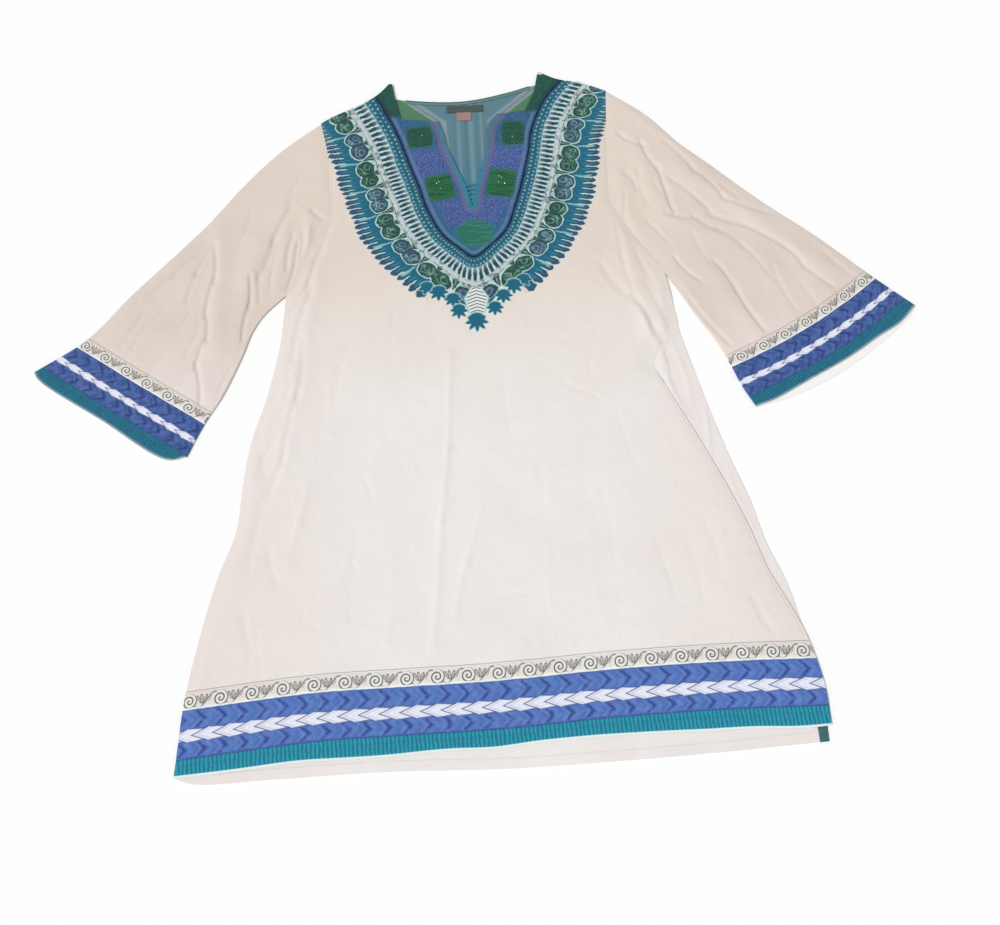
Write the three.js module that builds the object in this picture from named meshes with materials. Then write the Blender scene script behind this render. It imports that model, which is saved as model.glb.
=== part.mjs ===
// A dashiki dress laid flat: A-line front and back, three-quarter bell sleeves, square neck with a slit.
// Millimetres, +X to the garment's right as it is looked at, +Y towards the neck, +Z up from the table.
import * as THREE from 'three';

// ---- driving sizes ----
const CLOTH = 1.2; // wall of every cloth panel
const SEAM_GAP = 0.3; // space left between neighbouring pieces
const SLEEVE_SHIFT = 0.4; // sleeves stand this far out, which leaves the seam gap along the armhole
const TRIM = 1.0; // thickness of the band, label and tag
const BAND_DEPTH = 5; // binding along the back neck
const FRONT_REST = CLOTH + SEAM_GAP; // underside of the front panel over the back
const PILE = FRONT_REST + CLOTH; // height of two layers at a seam
const EDGE_ROUND = 1.2; // how far a sleeve's fold is drawn in above and below
const MOST_LIFT = 3.4; // the deepest fold

const HALF_COLUMNS = 13; // grid of the front, each side of the centre
const BACK_COLUMNS = 10;
const SIDE_ROWS = 22;
const BACK_SIDE_ROWS = 12;
const ARMHOLE_ROWS = 14;
const SHOULDER_ROWS = 5;
const SLIT_START_ROW = 6; // armhole row level with the foot of the neck slit
const SLIT_ROWS = ARMHOLE_ROWS - SLIT_START_ROW;
const CORNER_ROW = 3; // shoulder row level with the corner of the square neck
const SLEEVE_ROWS = 22;

// ---- cut lines, hem to neck or shoulder to cuff; columns x and y ----
const LEFT_SIDE = [
  { x: -360, y: -10 }, { x: -353, y: 70 }, { x: -341, y: 133 }, { x: -323, y: 205 }, { x: -303, y: 262 },
  { x: -297, y: 318 }, { x: -289, y: 372 }, { x: -272, y: 430 }, { x: -257, y: 500 }, { x: -250, y: 576 },
];
const RIGHT_SIDE = [
  { x: 358, y: -11 }, { x: 359, y: 45 }, { x: 349, y: 98 }, { x: 334, y: 168 }, { x: 318, y: 215 },
  { x: 306, y: 270 }, { x: 289, y: 326 }, { x: 274, y: 384 }, { x: 260, y: 445 }, { x: 246, y: 515 },
  { x: 240, y: 582 },
];
const FRONT_RIGHT_SIDE = [
  { x: 358, y: 9 }, { x: 358, y: 49 }, { x: 347, y: 105 }, { x: 331, y: 147 }, { x: 315, y: 183 },
  { x: 297, y: 245 }, { x: 265, y: 327 }, { x: 240, y: 384 }, { x: 219, y: 431 }, { x: 212, y: 490 },
  { x: 226, y: 540 }, { x: 240, y: 582 },
];
const FRONT_HEM = [
  { x: -360, y: -10 }, { x: -275, y: -3 }, { x: -204, y: 2 }, { x: -108, y: 3 }, { x: 4, y: 4 },
  { x: 112, y: 9 }, { x: 233, y: 11 }, { x: 358, y: 9 },
];
const BACK_HEM = [
  { x: -360, y: -10 }, { x: -340, y: -17 }, { x: -251, y: -17 }, { x: -133, y: -16 }, { x: 3, y: -20 },
  { x: 109, y: -19 }, { x: 229, y: -16 }, { x: 325, y: -12 }, { x: 358, y: -11 },
];
const LEFT_ARMHOLE = [
  { x: -250, y: 576 }, { x: -242, y: 591 }, { x: -221, y: 644 }, { x: -197, y: 685 }, { x: -196, y: 736 },
  { x: -197, y: 786 }, { x: -207, y: 843 },
];
const RIGHT_ARMHOLE = [
  { x: 240, y: 582 }, { x: 233, y: 597 }, { x: 202, y: 648 }, { x: 180, y: 696 }, { x: 180, y: 750 },
  { x: 184, y: 804 }, { x: 190, y: 877 },
];
const LEFT_SHOULDER = [{ x: -207, y: 843 }, { x: -194, y: 852 }, { x: -124, y: 886 }];
const RIGHT_SHOULDER = [{ x: 190, y: 877 }, { x: 153, y: 895 }, { x: 124, y: 897 }];
const PIT_CENTRE = { x: -5, y: 579 };
const SLIT_FOOT = { x: -5, y: 697 };
const LEFT_SLIT = [
  SLIT_FOOT, { x: -13, y: 732 }, { x: -22, y: 758 }, { x: -34, y: 792 }, { x: -39, y: 818 }, { x: -46, y: 837 },
];
const RIGHT_SLIT = [
  SLIT_FOOT, { x: 2, y: 731 }, { x: 9, y: 756 }, { x: 18, y: 789 }, { x: 24, y: 830 }, { x: 36, y: 845 },
];
const LEFT_NECK = [{ x: -46, y: 837 }, { x: -97, y: 844 }, { x: -105, y: 883 }];
const RIGHT_NECK = [{ x: 36, y: 845 }, { x: 75, y: 849 }, { x: 90, y: 881 }];
const LEFT_PEAK = [{ x: -124, y: 886 }, { x: -113, y: 905 }, { x: -108, y: 905 }, { x: -105, y: 883 }];
const RIGHT_PEAK = [{ x: 90, y: 881 }, { x: 97, y: 915 }, { x: 101, y: 914 }, { x: 124, y: 897 }];
const BACK_NECK = [
  { x: -124, y: 886 }, { x: -91, y: 877 }, { x: -28, y: 870 }, { x: 7, y: 872 }, { x: 57, y: 883 },
  { x: 90, y: 893 }, { x: 124, y: 897 },
];
const BAND_SPAN = [0.14, 0.84]; // share of the back neck that the binding covers, clear of the front
const BAND_STEPS = 50; // points along the whole back neck

const SLEEVES = {
  left: {
    shift: -SLEEVE_SHIFT,
    armhole: LEFT_ARMHOLE,
    fold: [
      { x: -207, y: 843 }, { x: -262, y: 799 }, { x: -310, y: 747 }, { x: -355, y: 689 }, { x: -391, y: 649 },
      { x: -448, y: 588 }, { x: -500, y: 527 }, { x: -562, y: 485 },
    ],
    underarm: [
      { x: -250, y: 576 }, { x: -278, y: 548 }, { x: -293, y: 523 }, { x: -304, y: 490 }, { x: -325, y: 440 },
      { x: -348, y: 400 }, { x: -366, y: 361 },
    ],
    upperCuff: [
      { x: -562, y: 485 }, { x: -555, y: 473 }, { x: -472, y: 414 }, { x: -389, y: 358 }, { x: -366, y: 361 },
    ],
    lowerCuff: [
      { x: -562, y: 485 }, { x: -555, y: 473 }, { x: -472, y: 414 }, { x: -389, y: 358 }, { x: -366, y: 361 },
    ],
  },
  right: {
    shift: SLEEVE_SHIFT,
    armhole: RIGHT_ARMHOLE,
    fold: [
      { x: 190, y: 877 }, { x: 240, y: 835 }, { x: 280, y: 786 }, { x: 317, y: 749 }, { x: 379, y: 686 },
      { x: 444, y: 627 }, { x: 503, y: 567 }, { x: 555, y: 517 },
    ],
    underarm: [
      { x: 240, y: 582 }, { x: 254, y: 556 }, { x: 277, y: 509 }, { x: 291, y: 484 }, { x: 308, y: 444 },
      { x: 317, y: 418 }, { x: 331, y: 388 },
    ],
    upperCuff: [
      { x: 555, y: 517 }, { x: 530, y: 498 }, { x: 457, y: 457 }, { x: 404, y: 430 }, { x: 331, y: 388 },
    ],
    lowerCuff: [
      { x: 555, y: 517 }, { x: 546, y: 503 }, { x: 454, y: 435 }, { x: 375, y: 399 }, { x: 331, y: 388 },
    ],
  },
};

// ---- largest folds: a ridge from (x1, y1) to (x2, y2), its half width and its height ----
const FOLDS = [
  { x1: -42, y1: 540, x2: -60, y2: 309, width: 15, lift: 1.9 }, // pressed down the centre front
  { x1: -60, y1: 320, x2: -77, y2: 105, width: 16, lift: 1.7 },
  { x1: -14, y1: 275, x2: -56, y2: 150, width: 16, lift: 1.3 },
  { x1: -222, y1: 570, x2: -251, y2: 353, width: 15, lift: 2.2 }, // down the left side
  { x1: -218, y1: 325, x2: -240, y2: 225, width: 14, lift: 1.6 },
  { x1: 190, y1: 660, x2: 206, y2: 500, width: 14, lift: 2.0 }, // down the right side
  { x1: 118, y1: 430, x2: 168, y2: 150, width: 30, lift: 1.3 }, // broad swells of the skirt
  { x1: -190, y1: 230, x2: -205, y2: 45, width: 28, lift: 1.1 },
  { x1: 262, y1: 260, x2: 292, y2: 75, width: 26, lift: 1.4 },
  { x1: 40, y1: 500, x2: 62, y2: 300, width: 26, lift: 1.0 },
  { x1: -142, y1: 560, x2: -150, y2: 380, width: 26, lift: 1.1 },
  { x1: -252, y1: 705, x2: -292, y2: 605, width: 14, lift: 2.3 }, // left sleeve
  { x1: -345, y1: 665, x2: -352, y2: 515, width: 15, lift: 2.6 },
  { x1: -372, y1: 600, x2: -442, y2: 500, width: 14, lift: 2.4 },
  { x1: -392, y1: 637, x2: -468, y2: 548, width: 13, lift: 1.8 },
  { x1: -290, y1: 655, x2: -301, y2: 550, width: 13, lift: 1.8 },
  { x1: -332, y1: 520, x2: -382, y2: 420, width: 18, lift: 1.6 },
  { x1: -450, y1: 530, x2: -500, y2: 455, width: 20, lift: 1.8 },
  { x1: 222, y1: 797, x2: 258, y2: 692, width: 15, lift: 2.8 }, // right sleeve
  { x1: 258, y1: 684, x2: 322, y2: 640, width: 13, lift: 2.0 },
  { x1: 268, y1: 722, x2: 370, y2: 638, width: 15, lift: 2.8 },
  { x1: 366, y1: 642, x2: 446, y2: 560, width: 14, lift: 2.2 },
  { x1: 306, y1: 606, x2: 354, y2: 498, width: 15, lift: 2.2 },
  { x1: 372, y1: 580, x2: 380, y2: 470, width: 15, lift: 1.6 },
  { x1: 440, y1: 545, x2: 480, y2: 485, width: 18, lift: 1.8 },
];

const COLOURS = { cloth: 0xe9e4e0, band: 0x1f6a4a, label: 0x3a3f42, tag: 0xb58d80 };
const MATT = 0.9; // roughness of cotton
const SATIN = 0.6; // roughness of woven tape
const LABEL = { x: -8, y: 857.5, width: 50, depth: 11 };
const TAG = { x: -10, y: 844.8, width: 20, depth: 13.5 };

// ---- lines and grids in the plane ----

/** Points evenly spaced along a smooth line through a cut line's points. */
function smooth(line, steps) {
  const curve = new THREE.CatmullRomCurve3(line.map(p => new THREE.Vector3(p.x, p.y, 0)), false, 'centripetal');
  return curve.getSpacedPoints(steps).map(p => ({ x: p.x, y: p.y }));
}

/** Points evenly spaced along straight stretches. */
function straight(line, steps) {
  const path = new THREE.CurvePath();
  const corners = line.map(p => new THREE.Vector3(p.x, p.y, 0));
  for (let i = 1; i < corners.length; i++) path.add(new THREE.LineCurve3(corners[i - 1], corners[i]));
  return path.getSpacedPoints(steps).map(p => ({ x: p.x, y: p.y }));
}

/** Lines joined end to end, with each shared end kept once. */
function joined(first, ...rest) {
  return rest.reduce((line, next) => line.concat(next.slice(1)), first);
}

/** Grid between four lines: left and right run along the rows, bottom and top across the columns. */
function patch(left, right, bottom, top) {
  const rows = left.length - 1;
  const columns = bottom.length - 1;
  return left.map((_, i) => bottom.map((__, j) => {
    const v = i / rows;
    const u = j / columns;
    const blend = axis => (1 - u) * left[i][axis] + u * right[i][axis]
      + (1 - v) * bottom[j][axis] + v * top[j][axis]
      - (1 - u) * (1 - v) * bottom[0][axis] - u * (1 - v) * bottom[columns][axis]
      - (1 - u) * v * top[0][axis] - u * v * top[columns][axis];
    return { x: blend('x'), y: blend('y') };
  }));
}

/** Height that the folds add over a place on the cloth. */
function foldLift(p) {
  let lift = 0;
  for (const fold of FOLDS) {
    const dx = fold.x2 - fold.x1;
    const dy = fold.y2 - fold.y1;
    const length = Math.hypot(dx, dy);
    const along = ((p.x - fold.x1) * dx + (p.y - fold.y1) * dy) / length;
    const off = ((p.x - fold.x1) * dy - (p.y - fold.y1) * dx) / length;
    const past = Math.max(0, -along, along - length);
    lift += fold.lift * Math.exp(-(off * off + past * past) / (fold.width * fold.width));
  }
  return Math.min(lift, MOST_LIFT);
}

// ---- solids ----

/** Mesh from points and triangles, turned to face out. */
function solid(name, points, triangles, colour, roughness) {
  const at = triangles.flat();
  let volume = 0;
  for (const [a, b, c] of triangles) {
    const [p, q, r] = [points[a], points[b], points[c]];
    volume += p.x * (q.y * r.z - q.z * r.y) + p.y * (q.z * r.x - q.x * r.z) + p.z * (q.x * r.y - q.y * r.x);
  }
  const geometry = new THREE.BufferGeometry();
  geometry.setAttribute('position', new THREE.Float32BufferAttribute(points.flatMap(p => [p.x, p.y, p.z]), 3));
  geometry.setIndex(volume > 0 ? at : at.reverse());
  geometry.computeVertexNormals();
  const material = new THREE.MeshStandardMaterial({ color: colour, roughness, metalness: 0 });
  const mesh = new THREE.Mesh(geometry, material);
  mesh.name = name;
  return mesh;
}

/** What lies flat on the table or on the back has no folds. */
function noLift() {
  return 0;
}

/** Cloth from grids that share their edge points: an upper face, a lower face and the cut edge. */
function sheet(name, grids, liftAt, lowerHeight, thickness, colour, roughness) {
  const places = [];
  const known = new Map();
  const indexOf = p => {
    const key = `${p.x.toFixed(2)},${p.y.toFixed(2)}`;
    if (!known.has(key)) known.set(key, places.push(p) - 1);
    return known.get(key);
  };
  const faces = [];
  for (const grid of grids) {
    for (let i = 1; i < grid.length; i++) {
      for (let j = 1; j < grid[i].length; j++) {
        const [a, b] = [indexOf(grid[i - 1][j - 1]), indexOf(grid[i - 1][j])];
        const [c, d] = [indexOf(grid[i][j]), indexOf(grid[i][j - 1])];
        faces.push([a, b, c], [a, c, d]);
      }
    }
  }
  const edges = new Set(faces.flatMap(([a, b, c]) => [`${a},${b}`, `${b},${c}`, `${c},${a}`]));
  const rim = [...edges].map(edge => edge.split(',').map(Number)).filter(([a, b]) => !edges.has(`${b},${a}`));
  const held = new Set(rim.flat());
  const upper = places.map((p, i) => {
    const lower = lowerHeight + (held.has(i) ? 0 : liftAt(p));
    return { x: p.x, y: p.y, z: lower + thickness };
  });
  const points = upper.concat(upper.map(p => ({ x: p.x, y: p.y, z: p.z - thickness })));
  const under = places.length;
  const triangles = faces.concat(faces.map(([a, b, c]) => [a + under, c + under, b + under]));
  for (const [a, b] of rim) triangles.push([b, a, a + under], [b, a + under, b + under]);
  return solid(name, points, triangles, colour, roughness);
}

/** A place moved a short way towards another one. */
function towards(from, to, distance) {
  const share = distance / Math.hypot(to.x - from.x, to.y - from.y);
  return { x: from.x + (to.x - from.x) * share, y: from.y + (to.y - from.y) * share };
}

/** One round of a sleeve's wall: over the upper layer, round the underarm and back along the lower one. */
function sleeveRound(upper, lower, heights, inset) {
  const last = upper.length - 1;
  const drawnIn = (line, j) => {
    if (j === 0) return towards(line[0], line[1], EDGE_ROUND + inset);
    if (j === last) return towards(line[last], line[last - 1], EDGE_ROUND + inset);
    return line[j];
  };
  const edge = (end, next) => ({ ...towards(end, next, inset), z: PILE / 2 });
  const fold = { x: (upper[0].x + lower[0].x) / 2, y: (upper[0].y + lower[0].y) / 2 };
  const seam = { x: (upper[last].x + lower[last].x) / 2, y: (upper[last].y + lower[last].y) / 2 };
  const over = upper.map((_, j) => ({ ...drawnIn(upper, j), z: heights[j] - inset }));
  const back = lower.map((_, j) => ({ ...drawnIn(lower, j), z: inset })).reverse();
  return [edge(fold, upper[1]), ...over, edge(seam, upper[last - 1]), ...back];
}

/** A sleeve: one flattened tube, open at the armhole and at the cuff. */
function sleeve(side) {
  const { shift, armhole, fold, underarm, upperCuff, lowerCuff } = SLEEVES[side];
  const moved = line => line.map(p => ({ x: p.x + shift, y: p.y }));
  const head = moved(smooth(armhole, ARMHOLE_ROWS)).reverse();
  const [top, seam] = [moved(smooth(fold, SLEEVE_ROWS)), moved(smooth(underarm, SLEEVE_ROWS))];
  const layer = cuff => patch(top, seam, head, moved(smooth(cuff, ARMHOLE_ROWS)));
  const [upper, lower] = [layer(upperCuff), layer(lowerCuff)];
  const heightsAt = (line, i) => line.map((p, j) => {
    const held = i === 0 || j === 0 || j === line.length - 1;
    return PILE + (held ? 0 : foldLift(p));
  });
  const rounds = inset => upper.map((line, i) => sleeveRound(line, lower[i], heightsAt(line, i), inset));
  const [outer, inner] = [rounds(0), rounds(CLOTH)];
  const count = outer[0].length;
  const stations = outer.length;
  const points = outer.flat().concat(inner.flat());
  const out = (i, k) => i * count + (k % count);
  const inn = (i, k) => stations * count + out(i, k);
  const triangles = [];
  const quad = (a, b, c, d) => triangles.push([a, b, c], [a, c, d]);
  for (let k = 0; k < count; k++) {
    for (let i = 1; i < stations; i++) {
      quad(out(i - 1, k), out(i - 1, k + 1), out(i, k + 1), out(i, k));
      quad(inn(i - 1, k + 1), inn(i - 1, k), inn(i, k), inn(i, k + 1));
    }
    const end = stations - 1;
    quad(out(0, k + 1), out(0, k), inn(0, k), inn(0, k + 1));
    quad(out(end, k), out(end, k + 1), inn(end, k + 1), inn(end, k));
  }
  return solid(`sleeve_${side}`, points, triangles, COLOURS.cloth, MATT);
}

/** The front: hem to underarm in one grid, then a grid each side of the neck slit. */
function frontPanel() {
  const hem = smooth(FRONT_HEM, 2 * HALF_COLUMNS);
  const underarm = straight([LEFT_SIDE.at(-1), PIT_CENTRE, RIGHT_SIDE.at(-1)], 2 * HALF_COLUMNS);
  underarm[HALF_COLUMNS] = PIT_CENTRE;
  const skirt = patch(smooth(LEFT_SIDE, SIDE_ROWS), smooth(FRONT_RIGHT_SIDE, SIDE_ROWS), hem, underarm);
  const centre = straight([PIT_CENTRE, SLIT_FOOT], SLIT_START_ROW);
  const neckEdge = (slit, neck) => joined(
    centre,
    smooth(slit, SLIT_ROWS),
    straight(neck.slice(0, 2), CORNER_ROW),
    straight(neck.slice(1), SHOULDER_ROWS - CORNER_ROW),
  );
  const armEdge = (armhole, shoulder) => joined(
    smooth(armhole, ARMHOLE_ROWS),
    straight(shoulder, SHOULDER_ROWS),
  );
  const leftHalf = patch(
    armEdge(LEFT_ARMHOLE, LEFT_SHOULDER),
    neckEdge(LEFT_SLIT, LEFT_NECK),
    underarm.slice(0, HALF_COLUMNS + 1),
    straight(LEFT_PEAK, HALF_COLUMNS),
  );
  const rightHalf = patch(
    neckEdge(RIGHT_SLIT, RIGHT_NECK),
    armEdge(RIGHT_ARMHOLE, RIGHT_SHOULDER),
    underarm.slice(HALF_COLUMNS),
    straight(RIGHT_PEAK, HALF_COLUMNS),
  );
  return sheet('front_panel', [skirt, leftHalf, rightHalf], foldLift, FRONT_REST, CLOTH, COLOURS.cloth, MATT);
}

/** The back: one flat grid from its longer hem to the neck. */
function backPanel() {
  const edge = (side, armhole, shoulder) => joined(
    smooth(side, BACK_SIDE_ROWS),
    smooth(armhole, ARMHOLE_ROWS),
    straight(shoulder, SHOULDER_ROWS),
  );
  const grid = patch(
    edge(LEFT_SIDE, LEFT_ARMHOLE, LEFT_SHOULDER),
    edge(RIGHT_SIDE, RIGHT_ARMHOLE, RIGHT_SHOULDER),
    smooth(BACK_HEM, BACK_COLUMNS),
    smooth(BACK_NECK, BACK_COLUMNS),
  );
  return sheet('back_panel', [grid], noLift, 0, CLOTH, COLOURS.cloth, MATT);
}

/** Narrow binding on the inside of the back neck, between the front's shoulders. */
function backNeckBand() {
  const [start, end] = BAND_SPAN.map(share => Math.round(share * BAND_STEPS));
  const line = smooth(BACK_NECK, BAND_STEPS).slice(start, end + 1);
  const inside = line.map(p => ({ x: p.x, y: p.y - BAND_DEPTH }));
  return sheet('back_neck_band', [[inside, line]], noLift, FRONT_REST, TRIM, COLOURS.band, MATT);
}

/** A plain rectangle of tape on the inside of the back. */
function tape(name, place, colour) {
  const row = y => [{ x: place.x - place.width / 2, y }, { x: place.x + place.width / 2, y }];
  const grid = [row(place.y - place.depth / 2), row(place.y + place.depth / 2)];
  return sheet(name, [grid], noLift, FRONT_REST, TRIM, colour, SATIN);
}

/** Moves the whole garment so that the middle of its underside is the origin. */
function centred(group) {
  const box = new THREE.Box3().setFromObject(group);
  const middle = box.getCenter(new THREE.Vector3());
  for (const mesh of group.children) mesh.geometry.translate(-middle.x, -middle.y, -box.min.z);
  return group;
}

const dress = new THREE.Group();
dress.name = 'dashiki_dress';
dress.add(
  frontPanel(),
  backPanel(),
  sleeve('left'),
  sleeve('right'),
  backNeckBand(),
  tape('neck_label', LABEL, COLOURS.label),
  tape('size_tag', TAG, COLOURS.tag),
);

export default centred(dress);
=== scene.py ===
"""A dashiki dress laid flat: white cotton with printed neck, cuff and hem borders.

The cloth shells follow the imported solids. Sizes are millimetres in the maker's own frame, in which
the hem's middle is near the origin, and one function turns them into the row's metres.
"""

import logging
import math
from collections.abc import Sequence
from dataclasses import dataclass, field
from enum import Enum
from typing import TypeAlias

import bpy
import numpy as np
from bpy.types import Material, Node, NodeSocket, NodeTree, Object
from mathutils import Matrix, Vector
from mathutils.bvhtree import BVHTree

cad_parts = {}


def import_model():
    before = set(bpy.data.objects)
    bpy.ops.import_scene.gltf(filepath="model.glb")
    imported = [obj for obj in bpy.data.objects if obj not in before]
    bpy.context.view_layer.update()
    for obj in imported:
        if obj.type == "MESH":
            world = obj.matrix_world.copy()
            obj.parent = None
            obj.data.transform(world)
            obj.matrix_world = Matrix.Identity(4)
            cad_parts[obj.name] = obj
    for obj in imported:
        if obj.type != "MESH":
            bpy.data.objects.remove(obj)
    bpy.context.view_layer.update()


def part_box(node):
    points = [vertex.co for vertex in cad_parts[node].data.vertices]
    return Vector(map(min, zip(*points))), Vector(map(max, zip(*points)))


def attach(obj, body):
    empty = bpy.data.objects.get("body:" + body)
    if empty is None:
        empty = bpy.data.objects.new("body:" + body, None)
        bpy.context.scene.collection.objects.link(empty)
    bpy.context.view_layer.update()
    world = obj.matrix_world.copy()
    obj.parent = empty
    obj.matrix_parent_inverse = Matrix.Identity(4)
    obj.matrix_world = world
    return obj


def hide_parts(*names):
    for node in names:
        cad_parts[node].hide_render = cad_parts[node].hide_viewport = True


log = logging.getLogger("dashiki")

Points: TypeAlias = np.ndarray
Line: TypeAlias = Sequence[tuple[float, float]]

MM = 0.001

# ---- heights and thicknesses, in millimetres ----
WALL = 1.2  # solid wall of a panel
SEAM_GAP = 0.3  # air between two solids at a seam
CLOTH = 0.8  # thickness of the cloth shells
PILE = 2 * WALL + SEAM_GAP  # two layers, to the top of the upper one
PUFF = 0.9  # how far cloth that isn't pressed stands off the layer below
DEEPEST = -0.9  # lowest that a trough may lie, against cloth without a fold
MOST_LIFT = 4.4  # highest that a ridge may stand
ROUNDNESS = 0.8  # power by which cloth rises from a held edge
TALLEST_FLANK = 2.2  # highest that a ridge may stand on pressed cloth
EDGE_ROUND = 1.2  # how far a sleeve's fold is drawn in above and below
SLEEVE_SHIFT = 0.12  # how far a sleeve stands out from its armhole
HEM_TURN = 11.0  # depth of the turned hem
HEM_RISE = 0.35  # its extra thickness
FAR = 999.0  # a distance that no print reaches
BORDER_REACH = 200.0  # height up to which the hem's border is measured
COVERED_ABOVE = 492.0  # height from which the front covers the back on the right
ABOVE = 50.0  # a height over everything, from which lines are dropped on the cloth

# ---- cut lines in millimetres, as (x, y) ----
LEFT_SIDE: Line = (
    (-360, -10), (-353, 70), (-341, 133), (-323, 205), (-303, 262),
    (-297, 318), (-289, 372), (-272, 430), (-257, 500), (-250, 576),
)
RIGHT_SIDE: Line = (
    (353, -11), (355, 45), (347, 98), (334, 168), (318, 215), (306, 270),
    (289, 326), (274, 384), (260, 445), (246, 515), (240, 582),
)
FRONT_RIGHT_SIDE: Line = (
    (358, 5.5), (358, 49), (347, 105), (331, 147), (315, 183), (297, 245),
    (265, 327), (240, 384), (219, 431), (210, 455), (222, 475), (246, 496), (245, 538), (240, 582),
)
LAID_DOWN: Line = ((210, 455), (222, 475), (246, 496), (246, 528))  # where the front's side lies on the back
FRONT_HEM: Line = ((-360, -10), (-275, -3), (-204, 2), (-108, 3), (4, 4), (112, 9), (233, 11), (358, 9))
HEM_DIPS: Line = (
    # x, and how far the cut edge dips below the line that the hem's print follows
    (-360, 0), (-300, 1.5), (-235, 1.6), (-180, 3.4), (-134, 3.4), (-62, 1.0), (-14, 2.2), (34, 0),
    (82, 0.5), (154, 2.2), (226, 3.8), (274, 3.6), (322, 5.0), (358, 3.5),
)
BACK_HEM: Line = (
    (-360, -10), (-340, -17), (-251, -17), (-133, -16), (3, -20),
    (109, -19), (229, -16), (325, -12), (353, -11),
)
LEFT_ARMHOLE: Line = (
    (-250, 576), (-242, 591), (-221, 644), (-197, 685), (-196, 736), (-197, 786), (-207, 843),
)
RIGHT_ARMHOLE: Line = ((240, 582), (233, 597), (202, 648), (180, 696), (180, 750), (184, 804), (190, 877))
LEFT_SHOULDER: Line = ((-207, 843), (-194, 852), (-124, 886))
RIGHT_SHOULDER: Line = ((190, 877), (153, 895), (124, 897))
PIT_CENTRE = (-5, 579)
SLIT_FOOT = (-5, 697)
LEFT_SLIT: Line = (SLIT_FOOT, (-13, 732), (-22, 758), (-34, 792), (-39, 818), (-46, 837))
RIGHT_SLIT: Line = (SLIT_FOOT, (2, 731), (9, 756), (18, 789), (24, 830), (36, 845))
LEFT_NECK: Line = ((-46, 837), (-97, 844), (-105, 883))
RIGHT_NECK: Line = ((36, 845), (75, 849), (90, 881))
LEFT_PEAK: Line = ((-124, 886), (-113, 905), (-108, 905), (-105, 883))
RIGHT_PEAK: Line = ((90, 881), (97, 915), (101, 914), (124, 897))
BACK_NECK: Line = ((-124, 886), (-91, 877), (-28, 870), (7, 872), (57, 883), (90, 893), (124, 897))


class Side(Enum):
    """Which sleeve, as the dress is looked at."""

    LEFT = "left"
    RIGHT = "right"


@dataclass(frozen=True)
class SleeveCut:
    """Cut lines of one sleeve.

    Attributes:
        armhole: From the underarm to the shoulder.
        fold: Along the top, from the shoulder to the cuff.
        underarm: From the underarm to the cuff.
        upper_cuff: Cuff edge of the layer on top.
        lower_cuff: Cuff edge of the layer below.
        shift: How far the sleeve stands out from the armhole.
        print_line: Ends of the line along which the cuff's border is printed, from the top fold.
        print_bow: How far that line bends towards the shoulder at its middle.
        cut: Width and length of the flat cut, in metres.
        cut_area: Area of the flat cut, in square metres.
    """

    armhole: Line
    fold: Line
    underarm: Line
    upper_cuff: Line
    lower_cuff: Line
    shift: float
    print_line: Line
    print_bow: float
    cut: tuple[float, float]
    cut_area: float


LEFT_CUFF: Line = ((-562, 485), (-555, 473), (-472, 414), (-389, 358), (-366, 361))
SLEEVE_CUTS = {
    Side.LEFT: SleeveCut(
        armhole=LEFT_ARMHOLE,
        fold=(
            (-207, 843), (-262, 799), (-310, 747), (-355, 689), (-391, 649),
            (-448, 588), (-500, 527), (-562, 485),
        ),
        underarm=((-250, 576), (-278, 548), (-293, 523), (-304, 490), (-325, 440), (-348, 400), (-366, 361)),
        upper_cuff=LEFT_CUFF,
        lower_cuff=LEFT_CUFF,
        shift=-SLEEVE_SHIFT,
        print_line=((-562, 478), (-374, 348)),
        print_bow=-1.0,
        cut=(0.56, 0.507),
        cut_area=0.148,
    ),
    Side.RIGHT: SleeveCut(
        armhole=RIGHT_ARMHOLE,
        fold=(
            (190, 877), (240, 835), (280, 786), (317, 749), (379, 686), (444, 627), (503, 567), (555, 517),
        ),
        underarm=((240, 582), (254, 556), (277, 509), (291, 484), (308, 444), (317, 418), (331, 388)),
        upper_cuff=((555, 517), (532, 494), (500, 475), (457, 448), (404, 421), (355, 396), (331, 388)),
        lower_cuff=((555, 517), (546, 503), (454, 435), (375, 399), (331, 388)),
        shift=SLEEVE_SHIFT,
        print_line=((555, 517), (331, 388)),
        print_bow=-10.5,
        cut=(0.62, 0.513),
        cut_area=0.160,
    ),
}


@dataclass(frozen=True)
class Fold:
    """A ridge or, with a negative lift, a trough from (x1, y1) to (x2, y2).

    Attributes:
        width: Half width across.
        lift: Height at its middle.
        bow: How far its middle bends off the straight line.
        lean: From -1 to 1, how much steeper one flank is than the other.
    """

    x1: float
    y1: float
    x2: float
    y2: float
    width: float
    lift: float
    bow: float = 0.0
    lean: float = 0.0


def folds(*rows: tuple[float, ...]) -> tuple[Fold, ...]:
    """Turn rows of numbers, in the order of a fold's fields, into folds."""
    return tuple(Fold(*row) for row in rows)


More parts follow.
